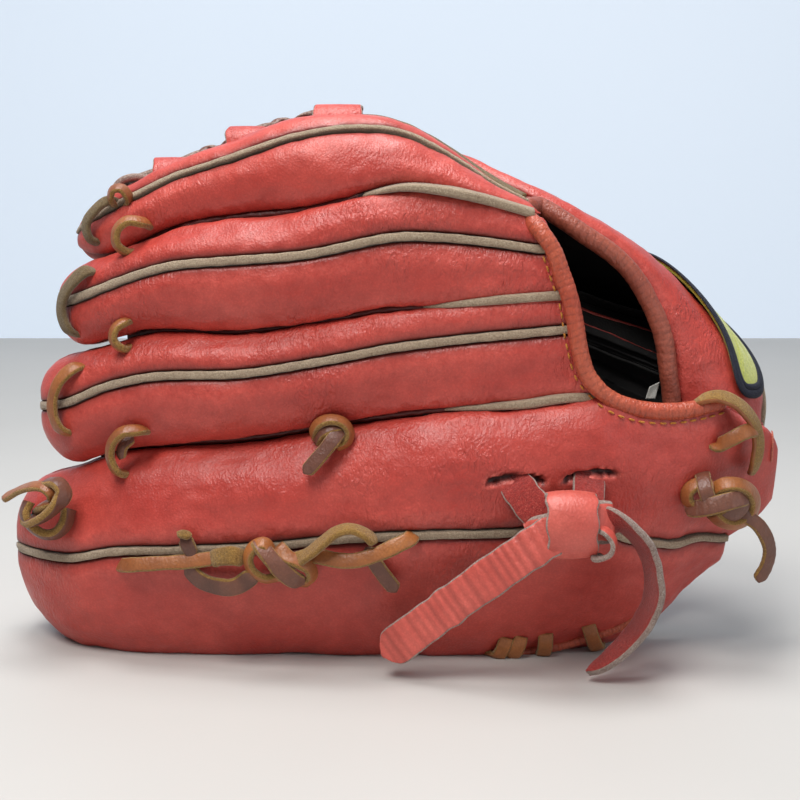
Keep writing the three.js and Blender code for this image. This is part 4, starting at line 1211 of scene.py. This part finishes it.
lace("middle_ring_thong", "middle_ring_lace", [(-107, 18, 138), (-109, 9.5, 138.5), (-112.6, 8, 136),
     (-113.4, 7.5, 131.5), (-110.5, 9, 128), (-107, 16, 128)], around=(-108.5, 133), tilt=(-0.3, -0.5, 0),
     width=4.6)
lace("ring_pinky_thong", "ring_pinky_lace", [(-101, 10, 95), (-104.5, 3.4, 96), (-110, 2, 95.5),
     (-114.4, 2.8, 91), (-115.6, 3.6, 85), (-113.5, 4.5, 79), (-110, 10, 76.5)], around=(-106.5, 86),
     tilt=(-0.25, -0.4, 0))
lace("ring_pinky_thong_end", "ring_pinky_lace", [(-107, 8, 92), (-110.5, 4.5, 89), (-111.5, 5, 84)],
     [(-0.3, -0.9, 0.1)], width=4.4, **DARK)

# the knot between the ring and little fingers
lace("ring_pinky_knot_loop", "ring_pinky_knot", [(-31, 8, 92), (-33, 2, 93), (-34, -3, 96.2),
     (-31.6, -6, 100.6), (-26.8, -7.4, 102.4), (-22, -7, 101), (-19.6, -6.6, 97), (-21, -6.6, 93),
     (-24.6, -6.4, 91.2)], around=(-26.5, 96.5), tilt=(0, -0.15, 0.1), thick=2.5, rounded_end=False)
lace("ring_pinky_knot_wrap", "ring_pinky_knot", [(-22, -4, 98.5), (-26, -7.5, 99.2), (-30.4, -7.2, 97.2),
     (-32.6, -4.5, 93.6)], [(0.3, -0.5, 0.9), (-0.5, -0.6, 0.4)], thick=2.3, rounded_end=False, **DARK)
lace("ring_pinky_knot_tail", "ring_pinky_knot", [(-21.8, -4, 99.6), (-24.6, -9.2, 96.6),
     (-28, -11.2, 92.4), (-32, -12, 87.6), (-37, -12.4, 82)],
     [(0.2, -0.93, 0.3), (-0.15, -0.93, 0.4), (-0.1, -0.9, 0.45)], width=6, waves_high=0.14, **DARK)

# the knot at the little finger's tip
lace("tip_knot_outer", "pinky_tip_knot", [(-133.6, 6, 63), (-134.6, 3.5, 57.5), (-138.4, 2.5, 53.8),
     (-143.4, 2.5, 53.6), (-148.2, 3, 56.8), (-150.8, 4, 61.5), (-149.5, 6, 66)], around=(-142.5, 62),
     tilt=(0, -0.2, 0), width=7, thick=3.6, rounded_end=False, **DARK)
lace("tip_knot_wrap", "pinky_tip_knot", [(-150, 5, 59), (-146, 0, 59.4), (-140.4, -2.4, 62.6),
     (-135.8, -2.4, 67), (-133.4, -1, 71.4), (-136.2, 1, 75), (-141, 4, 74.4)],
     [(0.55, -0.35, -0.7), (0.6, -0.35, -0.6), (0.9, -0.3, -0.1), (0.3, -0.2, 0.95), (-0.2, -0.1, 1)],
     width=7, thick=3.2, rounded_end=False, **DARK)
lace("tip_knot_inner", "pinky_tip_knot", [(-146, 8, 62), (-142.6, 2.6, 65), (-138.5, 1.2, 66.4)],
     [(0.3, 0.2, -0.9)], width=6.4, thick=3.4, rounded_end=False)
free_end("tip_knot_tail", "pinky_tip_knot", [(-138.2, 1.5, 67), (-138.2, 0.2, 71), (-141.5, 1, 73.4),
         (-147, 4, 73), (-153, 8.5, 70.6), (-158, 12.6, 67.6), (-162.6, 16, 65)],
         [(0.5, -0.7, 0.3), (0.2, -0.5, 0.85), (-0.1, -0.42, 0.9), (-0.25, -0.5, 0.8)], 5.6, "loose")

# the knotted lace on the little finger's side
SIDE = "pinky_side_lace"
lace("side_band_left", SIDE, [(-113, 4, 41), (-110.5, -3.5, 42.5), (-106, -6.6, 43.6), (-95, -9, 45),
     (-83, -10.6, 46.2), (-72, -12.5, 48.2)], [(-0.25, -0.9, 0.45)], width=6.0)
lace("side_stub", SIDE, [(-85.2, -8.6, 56), (-83.4, -10.5, 53), (-81.4, -10, 48)], [(-0.1, -0.95, 0.2)],
     width=6, waves_high=0.3, **DARK)
lace("side_stub_end", SIDE, [(-87, -9.5, 57.2), (-84.6, -11.2, 57.6), (-81.8, -10.6, 56.4)],
     [(0, -0.6, 0.8)], width=4, **BARE_END, waves_high=0.3)
lace("side_cut_end", SIDE, [(-74.5, -11, 47), (-70, -14.6, 49.4), (-65, -15.6, 50), (-60, -13, 47.6)],
     [(0, -0.9, 0.4)], width=7.4, thick=3.2, **BARE_END, waves_high=0.55)
lace("side_lower_wrap", SIDE, [(-83.5, -7.5, 43.6), (-80.6, -10.6, 40), (-75, -13, 37.4),
     (-68.5, -14, 36.8), (-61.5, -14.6, 38.6), (-56.4, -14.6, 43)],
     [(-0.5, -0.8, -0.1), (0, -0.93, -0.3), (0.3, -0.93, 0)], width=7.6, waves_high=0.4, ribs=0.15,
     rib_pitch=3.4, **DARK)
lace("side_knot_loop", SIDE, [(-47.6, -13.5, 41), (-53, -14.6, 40.4), (-57.6, -15.6, 44),
     (-59, -16.4, 49.4), (-56.6, -17, 54), (-52.6, -17.4, 55.4), (-50, -16.6, 51.6), (-48.6, -15, 46)],
     around=(-53.5, 48), tilt=(0, -0.25, 0), width=6, thick=2.7, rounded_end=False)
lace("side_knot_wrap", SIDE, [(-56, -14, 55.4), (-53, -18.4, 53.6), (-49.4, -20.2, 49.8),
     (-45.4, -20.4, 45.4), (-41, -19, 41.4), (-37.8, -15.6, 39.4)],
     [(0.5, -0.5, 0.7), (0.35, -0.9, 0.1), (0.1, -0.9, -0.4)], width=7, thick=2.7, **DARK)
lace("side_knot_right", SIDE, [(-47.4, -16, 54), (-43.6, -18.4, 50.6), (-39.2, -18.8, 48.6),
     (-35.2, -17.8, 46), (-34.4, -15.8, 41.6), (-38, -14, 38)], around=(-41.5, 43), tilt=(0, -0.4, 0),
     width=6, thick=2.6, rounded_end=False)
lace("side_twist", SIDE, [(-45, -14.5, 46.6), (-40, -18, 49), (-34.5, -19.6, 52.6), (-29.5, -20.4, 57),
     (-24.4, -20.6, 61), (-18.8, -20.4, 62.2), (-13.4, -20, 60), (-9.4, -18.6, 56)],
     [(0.4, -0.75, -0.4), (0.3, -0.35, 0.85), (-0.2, -0.3, 0.9), (0, -0.2, 1), (0.5, -0.5, 0.7)],
     width=6.6, thick=2.6, materials=[EDGE, EDGE, DARK_LACE])
lace("side_band_right", SIDE, [(-36, -14, 50), (-31, -16.4, 50), (-25, -18.4, 49.2), (-17.6, -20, 49.4),
     (-9, -20.6, 52), (-1.5, -20.8, 55.6), (3.6, -18.6, 57.6), (5, -13, 58)],
     [(-0.15, -0.9, 0.4), (0, -0.9, 0.42), (0.1, -0.88, 0.45)], width=6.2, thick=2.5)
lace("side_tail", SIDE, [(-13, -13.6, 53), (-10.6, -15.4, 48.6), (-6.6, -15.2, 42.4),
     (-1.4, -13.8, 35.2)], [(0, -0.97, -0.22)], width=6, **DARK)

# wrist laces
lace("wrist_thong", "wrist_lace", [(113, -2, 106), (116.5, -8.5, 110.5), (121.6, -12, 112.4),
     (127.6, -12, 110.6), (133, -10.8, 106.4), (137.4, -9, 100.4), (139.6, -7, 93), (139.4, -5.6, 85.4),
     (139.6, 0, 79.4)], [(-0.1, -0.5, 0.85), (0.2, -0.62, 0.75), (0.6, -0.72, 0.3), (0.6, -0.8, 0.05),
     (0.5, -0.85, -0.1)], width=6, materials=[EDGE, LACE, LACE])
lace("wrist_short_thong", "wrist_lace", [(122.6, -2, 90.6), (123.4, -9, 92.4), (127.4, -12.4, 95.6),
     (132, -12.6, 98.2), (136.4, -9.6, 98.6), (138, -4, 97)], [(0.1, -0.75, 0.6), (0.4, -0.8, 0.4)],
     width=6, thick=2.6)
KNOT = "wrist_knot"
lace("wrist_knot_top", KNOT, [(118.6, -3, 80.4), (117.6, -11.5, 80), (117.6, -16, 76.4),
     (119.4, -16, 71.6)], [(-0.1, -0.1, 1), (-0.2, -0.8, 0.5), (-0.1, -0.95, 0)], width=6.2, **DARK)
lace("wrist_knot_left", KNOT, [(121, -12, 77), (115.6, -12.6, 78), (111.6, -12.4, 75), (112, -12, 70.6),
     (116, -12.6, 67.2)], around=(117, 72.5), tilt=(0, -0.2, 0), width=6, thick=2.6, rounded_end=False)
lace("wrist_knot_band", KNOT, [(111.8, -10.6, 68.2), (114.4, -14.6, 68.6), (119.6, -18, 70.6),
     (126, -18.6, 72.6), (131.4, -16.4, 73.4), (134, -12, 73)],
     [(-0.4, -0.8, 0.35), (0, -0.9, 0.42), (0.2, -0.9, 0.35)], width=7, ribs=0.3, rib_pitch=3.0, **DARK)
lace("wrist_knot_loop", KNOT, [(121, -11, 74), (124.6, -14.6, 78), (130, -15, 78.4), (135.4, -12.6, 75.4),
     (138.6, -10, 70), (137.6, -9, 64.2), (132.6, -10.6, 61.4), (126, -12.4, 62.4), (121.6, -13, 66)],
     around=(129.5, 70), tilt=(0, -0.35, 0), width=6.6, thick=2.7, rounded_end=False)
lace("wrist_knot_core", KNOT, [(124, -9, 64), (127.6, -13.4, 66), (131.4, -14, 69.4), (134, -11, 73.4)],
     [(0.3, -0.9, -0.2)], width=8.4, thick=4, **DARK)
free_end("wrist_knot_tail", KNOT, [(131, -9, 67), (134.6, -11, 65), (139.6, -10.4, 61.4),
         (143.8, -8.4, 56), (146.4, -6.4, 49.6), (145.6, -5, 42.6), (142.6, -4.4, 36)],
         [(0.3, -0.9, 0.2), (0.5, -0.85, 0.1), (0.3, -0.95, 0)], 6, "hanging", waves_high=0.16, ribs=0.14,
         rib_pitch=2.4, **DARK)

# lace wraps over the heel's rolled edge, and the roll itself
HEEL_RIM = (("pinky", 104.5, 0.12), ("pinky", 115, 0.5), ("pinky", 124.5, 0.88), ("ring", 128.5, 0.5),
            ("middle", 131, 0.3))
heel_rim_route = [below(n, PALM, x, turn, 1.5) + [5.6, 0, -0.8] for n, x, turn in HEEL_RIM]
roll("heel_roll", heel_rim_route, 2.9, ROLL, "heel_rim", "finger_side", ribs=0.12, pitch=3)
HEEL_SEAM = ((37, 0.225), (46, 0.23), (58, 0.23), (70, 0.24), (82, 0.26), (92, 0.28), (101, 0.31))
heel_seam_route = [below("pinky", BACK, x, turn, -0.2) for x, turn in HEEL_SEAM]
roll("heel_seam_roll", heel_seam_route, 2.0, ROLL, "heel_lace", "finger_side", ribs=0.1, pitch=2.2)
# A heel thong's way over that seam: how far to either side, and how deep below the leather.
HEEL_WRAP = ((1.25, 0.8), (0.95, -1.7), (0.35, -3.3), (-0.35, -3.3), (-0.95, -1.7), (-1.2, 0.8))
for k, (x, tilt) in enumerate(((38, 9), (44, 9), (58.5, 2), (80.5, -5))):
    over = [below("pinky", BACK, x + tilt * s * 0.5, 0.235 + 0.06 * s, d) for s, d in HEEL_WRAP]
    lace(f"heel_thong_{k + 1}", "heel_lace", over, [(0, -0.9, 0.1), (0, -0.75, -0.6)], width=6, thick=2.3,
         rounded_end=False)

# ---------- the wrist strap ----------
STRAP_FACES = [PINK, CUT, FLESH]


def strap(name, node, route, faces, **how):
    how = {"thick": STRAP_THICK, "materials": STRAP_FACES, "slot": "leather", "rounded_end": False, **how}
    ribbon(name, route, faces, node=node, **how)


strap("strap_from_slot_a", "adjusting_strap_loop", [(41.5, -9, 82.6), (42.8, -14.6, 80.8),
      (45.4, -20.6, 78), (49.6, -25, 73), (56, -29, 67)], [(-0.15, -0.75, 0.6), (-0.2, -0.97, 0.15)],
      width=13.6, materials=[FLESH, CUT, FLESH], waves_high=0.1)
strap("strap_from_slot_b", "adjusting_strap_loop", [(73, -8, 84.4), (72.8, -13.6, 82.2),
      (72.2, -19.6, 79), (71, -25, 73.5), (69.4, -29.4, 67)], [(0.1, -0.75, 0.6), (0.05, -0.97, 0.15)],
      width=12.4, materials=[FLESH, CUT, FLESH], waves_high=0.1)
strap("strap_knot_wrap", "adjusting_strap", [(64.4, -25, 77.4), (64.2, -31, 78), (64, -36.2, 74),
      (64, -38, 67.4), (64.4, -36.4, 60), (65, -32, 55), (65.4, -26, 55)],
      [(0, 0, 1), (0, -1, 0.3), (0, -1, 0), (0, -1, -0.3), (0, 0, -1)], width=19.5, cup=0.9,
      waves_high=0.12)
strap("strap_knot_core", "adjusting_strap", [(50, -27, 60), (56, -30.6, 63), (64, -32.4, 66.5),
      (72, -31.4, 67.6), (79, -28, 67)], [(-0.1, -0.95, 0.25)], width=16, thick=6)
free_end("strap_left_tail", "adjusting_strap", [(66, -31, 67), (57.6, -33, 63.6), (49, -33.4, 58),
         (38, -31.4, 49.4), (24, -27.6, 37.6), (9, -22.6, 24.2), (-6.4, -16.6, 10)],
         [(-0.1, -0.9, 0.35), (-0.05, -0.93, 0.3), (0.05, -0.9, 0.35)], 15.4, "hanging", thick=2.6,
         materials=STRAP_FACES, slot="leather", ribs=0.42, rib_pitch=3.7, waves_high=0.3, step=0.6)
free_end("strap_right_tail", "adjusting_strap", [(70, -28, 65), (77, -29.4, 66.6), (84.4, -29.4, 65.6),
         (91, -28, 59.4), (96, -26, 49.4), (97.6, -24.4, 38.4), (94.6, -23, 27), (88, -22, 17),
         (80.4, -21, 9), (73.4, -20.4, 3.8)], [(-0.15, -0.8, 0.55), (-0.5, -0.35, -0.8),
         (-0.9, -0.24, -0.3), (-0.92, -0.22, 0.1), (-0.8, -0.24, 0.5), (-0.66, -0.3, 0.66)], 14,
         "hanging", thick=3.1, materials=[FLESH, CUT, PINK], slot="leather", waves_high=0.12,
         girth=[1, 1, 1, 0.95, 0.8, 0.35])
strap("strap_curl", "adjusting_strap", [(73.6, -34, 66.4), (77, -35.6, 65), (79.6, -36, 61),
      (78.6, -35.6, 56.6), (75.2, -34.6, 54.6), (72, -32, 55.4)],
      [(0.6, -0.4, 0.6), (1, -0.3, 0), (0.4, -0.4, -0.8)], width=6, thick=2, materials=[PINK, CUT, CUT],
      rounded_end=True)


# ---------- badge, tag, holes and hems ----------
BADGE_PROUD = 1.7


def badge():
    """A plain embroidered badge: a satin field with a raised corded border, and no lettering."""
    angle = np.linspace(0, 2 * math.pi, 260, endpoint=False)

    def outline(scale):
        c, s = np.cos(angle), np.sin(angle)
        wave = 1 + 0.05 * np.cos(3 * angle)
        return (0.196 + 0.124 * scale * wave * np.sign(c) * np.abs(c) ** 0.8,
                0.452 + 0.108 * scale * np.sign(s) * np.abs(s) ** 0.8)

    rings = np.linspace(0.02, 1, 26)
    u = np.stack([outline(r)[0] for r in rings])
    t = np.stack([outline(r)[1] for r in rings])
    u, t = (np.concatenate([v, v[:, :1]], axis=1) for v in (u, t))
    thread = 0.10 * np.sin(u * 1500) * np.clip(1.2 - rings[:, None], 0, 1)
    field = thick_sheet("badge_field", thumb_below(BACK, u, t, -BADGE_PROUD - thread),
                        thumb_below(BACK, u, t, -0.3), [LIME])
    hang(field, "thumb_side", "patch", "emblem_patch")
    for k, (scale, radius) in enumerate(((1.0, 1.3), (0.9, 1.0))):
        edge_u, edge_t = (np.append(v, v[0]) for v in outline(scale))
        way = way_along(thumb_below(BACK, edge_u, edge_t, -BADGE_PROUD))
        even = np.arange(0, way[-1], 0.72)
        edge_u, edge_t = np.interp(even, way, edge_u), np.interp(even, way, edge_t)
        centre = thumb_below(BACK, edge_u, edge_t, -BADGE_PROUD)
        along = unit(np.roll(centre, -1, axis=0) - np.roll(centre, 1, axis=0))
        up = unit(thumb_below(BACK, edge_u, edge_t, -BADGE_PROUD - 1) - centre)
        side = unit(np.cross(along, up))
        stitches(f"badge_border_{k + 1}", centre, side * 0.85 + along * 0.35, 3.1 * radius, 0.62,
                 "thumb_side", NAVY, up)


badge()

HEM_TURN = 0.925


def hems():
    """The hem stitches along the thumb's outer edge and the little finger's wrist edge."""
    u = np.linspace(0.015, 0.9, 64)
    for name, side in (("thumb_hem_back", BACK), ("thumb_hem_palm", PALM)):
        p = thumb_below(side, u, HEM_TURN, -0.15)
        up = unit(thumb_below(side, u, HEM_TURN, -1.0) - p)
        along = unit(np.gradient(p, axis=0))
        stitches(name, p, along, 2.9, 0.36, "thumb_side", HEM, up)
    turn = np.linspace(0.66, 0.95, 16)
    p = below("pinky", BACK, 149.6, turn, -0.2)
    up = unit(below("pinky", BACK, 149.6, turn, -1.2) - p)
    stitches("wrist_hem", p, unit(np.gradient(p, axis=0)) + [0.12, 0, 0], 2.7, 0.36, "finger_side", HEM,
             up)


hems()


def eyelet(name, centre, normal, body, hole, rim):
    """A punched hole: a cup painted dark as the shade inside it, with a pressed rim round it."""
    normal = unit(normal)
    side = unit(np.cross(normal, [0.3, 0.2, 0.93]))
    other = np.cross(normal, side)
    angle = np.linspace(0, 2 * math.pi, 25)[None, :, None]
    radius = np.array([0.02, 0.6 * hole, hole, hole + 0.3 * rim, hole + rim, hole + 1.3 * rim])[:, None,
                      None]
    high = np.array([-1.0, -0.9, 0.05, 0.42, 0.38, -0.3])[:, None, None]
    ring = np.cos(angle) * side + np.sin(angle) * other
    top = centre + radius * ring + high * normal
    deep = centre + radius * ring + (np.minimum(high, 0) - 1.0) * normal
    dark = np.broadcast_to(np.clip(1.3 - radius[..., 0] / hole, 0, 1) * 1.6, top.shape[:2])
    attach(thick_sheet(name, top, deep, [RED], cavity=dark), body)


def on_thumb(u, turn):
    p = thumb_below(BACK, u, turn, 0)
    return p, thumb_below(BACK, u, turn, -1) - p


for k, (u, turn) in enumerate(((0.055, 0.30), (0.018, 0.60))):
    eyelet(f"vent_{k + 1}", *on_thumb(u, turn), "thumb_side", hole=1.2, rim=0.7)


def tag():
    """A blank woven tag that hangs from the lining inside the wrist."""
    s, t = np.linspace(0, 1, 12)[:, None], np.linspace(0, 1, 10)[None, :]
    low, high = (np.array(v) * 1000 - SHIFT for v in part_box("size_tag"))
    sag = 0.35 * np.sin(math.pi * s) * np.sin(3 * t)

    def face(depth):
        return np.stack([mix(low[0] + 3, high[0], t) + 1.5 * s, low[1] + depth + sag,
                         mix(low[2], high[2] - 3, s) + 2 * t * s], axis=-1)

    hang(thick_sheet("woven_tag", face(0), face(0.7), [TAG]), "finger_side", "tag", "size_tag")


tag()

# ---------- the web's edges ----------
def index_edge(x):
    return np.array([x, *BACK_SEAMS[4](x)])


edge_route = [index_edge(x) + [0, -1.4, 2.4] for x in (-20, -8, 2, 10, 18, 26, 34, 42, 48)]
ribbon("index_edge_strip", edge_route, [(0.2, -0.5, 0.85), (0.5, -0.6, 0.6)], width=4.4, thick=2.2,
       materials=[OLIVE, EDGE, OLIVE], rounded_end=False, slot="welt", waves_high=0.1)
for k, (x, width) in enumerate(((-94, 15.5), (-62, 17), (-25, 19.5))):
    edge = index_edge(x)
    around = [edge + [0, 9, 5.2], edge + [0, 5, 6.6], edge + [0, 0, 6.4], edge + [0, -3.6, 3.6],
              edge + [0, -4.6, -0.6], edge + [0, -2.6, -4]]
    ribbon(f"web_band_loop_{k + 1}", around, [(0, 0.2, 1), (0, -0.3, 1), (0, -0.8, 0.6), (0, -1, 0),
           (0, -0.8, -0.6)], width=width, thick=2.4, materials=[RED, CUT, RED], rounded_end=False,
           slot="leather")
top = index_edge(-110)
ribbon("web_top_loop", [top + [12, 4, 2], top + [6, 1, 4.6], top + [-2, -1, 5], top + [-6.6, -1, 1.6],
       top + [-7.4, -0.5, -4], top + [-4.4, 1, -7]], [(0.3, 0, 1), (0, 0, 1), (-0.6, 0, 0.8),
       (-1, 0, 0.2), (-0.8, 0, -0.4)], width=13, thick=2.8, materials=[CUT, CUT, CUT], rounded_end=False,
       waves_high=0.2, slot="leather")
lace("web_top_thong", "web_index_lace", [(-115, 30, 184), (-116, 24.4, 186.4), (-114.6, 23, 190),
     (-111, 23, 190.4), (-108.6, 24, 187), (-110, 29, 183.6)], around=(-112, 186), tilt=(0, -0.2, 0),
     width=5, thick=2.2, rounded_end=False)


def twisted(name, node, share, body, turns):
    """A thin lace that winds along an edge of the web."""
    u = np.linspace(0.02, 0.98, 40)
    line = web(u, share + 0 * u, 0.9)
    phase = turns * 2 * math.pi * u
    line = line + np.stack([0 * u, 0.8 * np.cos(phase), 0.8 * np.sin(phase)], axis=1)
    faces = np.stack([0.15 + 0 * u, -np.cos(phase), np.sin(phase)], axis=1)
    ribbon(name, line, faces, width=3.4, thick=2.0, node=node, body=body, waves_high=0.12, step=0.8,
           materials=[DARK_LACE, CUT, DARK_LACE])


twisted("web_index_thong", "web_index_lace", -0.045, "finger_side", 7)
twisted("web_thumb_thong", "web_thumb_lace", 1.055, "thumb_side", 6)

# ---------- camera, light and floor ----------
# The camera's place in metres, then how far it looks down and half its view in degrees.
CAMERA_PLACE = (0.0062, -0.5462, 0.198)
CAMERA_DOWN = 10
CAMERA_HALF_VIEW = 17
WALL_Y = 1
ROOM_HALF = 3
scene = bpy.context.scene
camera_data = bpy.data.cameras.new("camera")
camera = bpy.data.objects.new("camera", camera_data)
scene.collection.objects.link(camera)
camera.location = CAMERA_PLACE
camera.rotation_euler = (math.radians(90 - CAMERA_DOWN), 0, 0)
camera_data.angle = math.radians(2 * CAMERA_HALF_VIEW)
camera_data.clip_start = 0.01
scene.camera = camera
scene.view_settings.view_transform = "Standard"


def area_light(name, place, aim, size, power, color=(1, 1, 1)):
    data = bpy.data.lights.new(name, "AREA")
    data.shape, data.size, data.energy, data.color = "DISK", size, power, color
    obj = bpy.data.objects.new(name, data)
    obj.location = place
    obj.rotation_euler = (Vector(aim) - Vector(place)).to_track_quat("-Z", "Y").to_euler()
    scene.collection.objects.link(obj)


area_light("key", (-0.3, -0.55, 1.05), (0, 0, 0.1), 0.5, 9, (1, 0.98, 0.95))
area_light("fill", (0.8, -0.7, 0.4), (0, 0, 0.1), 0.7, 1.8, (0.95, 0.97, 1))
area_light("top", (-0.05, -0.02, 1.15), (0, 0, 0.1), 0.55, 9.5)
world = bpy.data.worlds.new("studio")
world.use_nodes = True
world.node_tree.nodes["Background"].inputs["Color"].default_value = (0.83, 0.88, 0.95, 1)
world.node_tree.nodes["Background"].inputs["Strength"].default_value = 0.24
scene.world = world


def set_piece(name, corners, material):
    """A flat sheet of the studio, which isn't part of the glove."""
    mesh = bpy.data.meshes.new(name)
    mesh.from_pydata(corners, [], [(0, 1, 2, 3)])
    mesh.materials.append(material)
    obj = bpy.data.objects.new(name, mesh)
    scene.collection.objects.link(obj)


def floor():
    n = Nodes("floor_surface")
    color = n.blend(n.ramp(n.noise(3, 3), 0.3, 0.7), (0.52, 0.505, 0.48), (0.56, 0.545, 0.52))
    n.bump((n.noise(400, 2), 0.03, 0.0005))
    r = ROOM_HALF
    set_piece("floor", [(-r, -r, 0), (r, -r, 0), (r, r, 0), (-r, r, 0)], n.finish(color, 0.6, 0.3))


floor()


def backdrop():
    """A plain pale wall behind the glove, evenly lit."""
    n = Nodes("backdrop_surface")
    color = n.blend(n.ramp(n.noise(0.6, 2), 0.3, 0.7), (0.66, 0.75, 0.86), (0.72, 0.80, 0.9))
    n.set(n.shader, "Emission Color", color)
    n.shader.inputs["Emission Strength"].default_value = 0.66
    r = ROOM_HALF
    corners = [(-r, WALL_Y, -0.01), (-r, WALL_Y, r), (r, WALL_Y, r), (r, WALL_Y, -0.01)]
    set_piece("backdrop", corners, n.finish(n.blend(0.5, color, (0, 0, 0)), 0.9, 0.0))


backdrop()
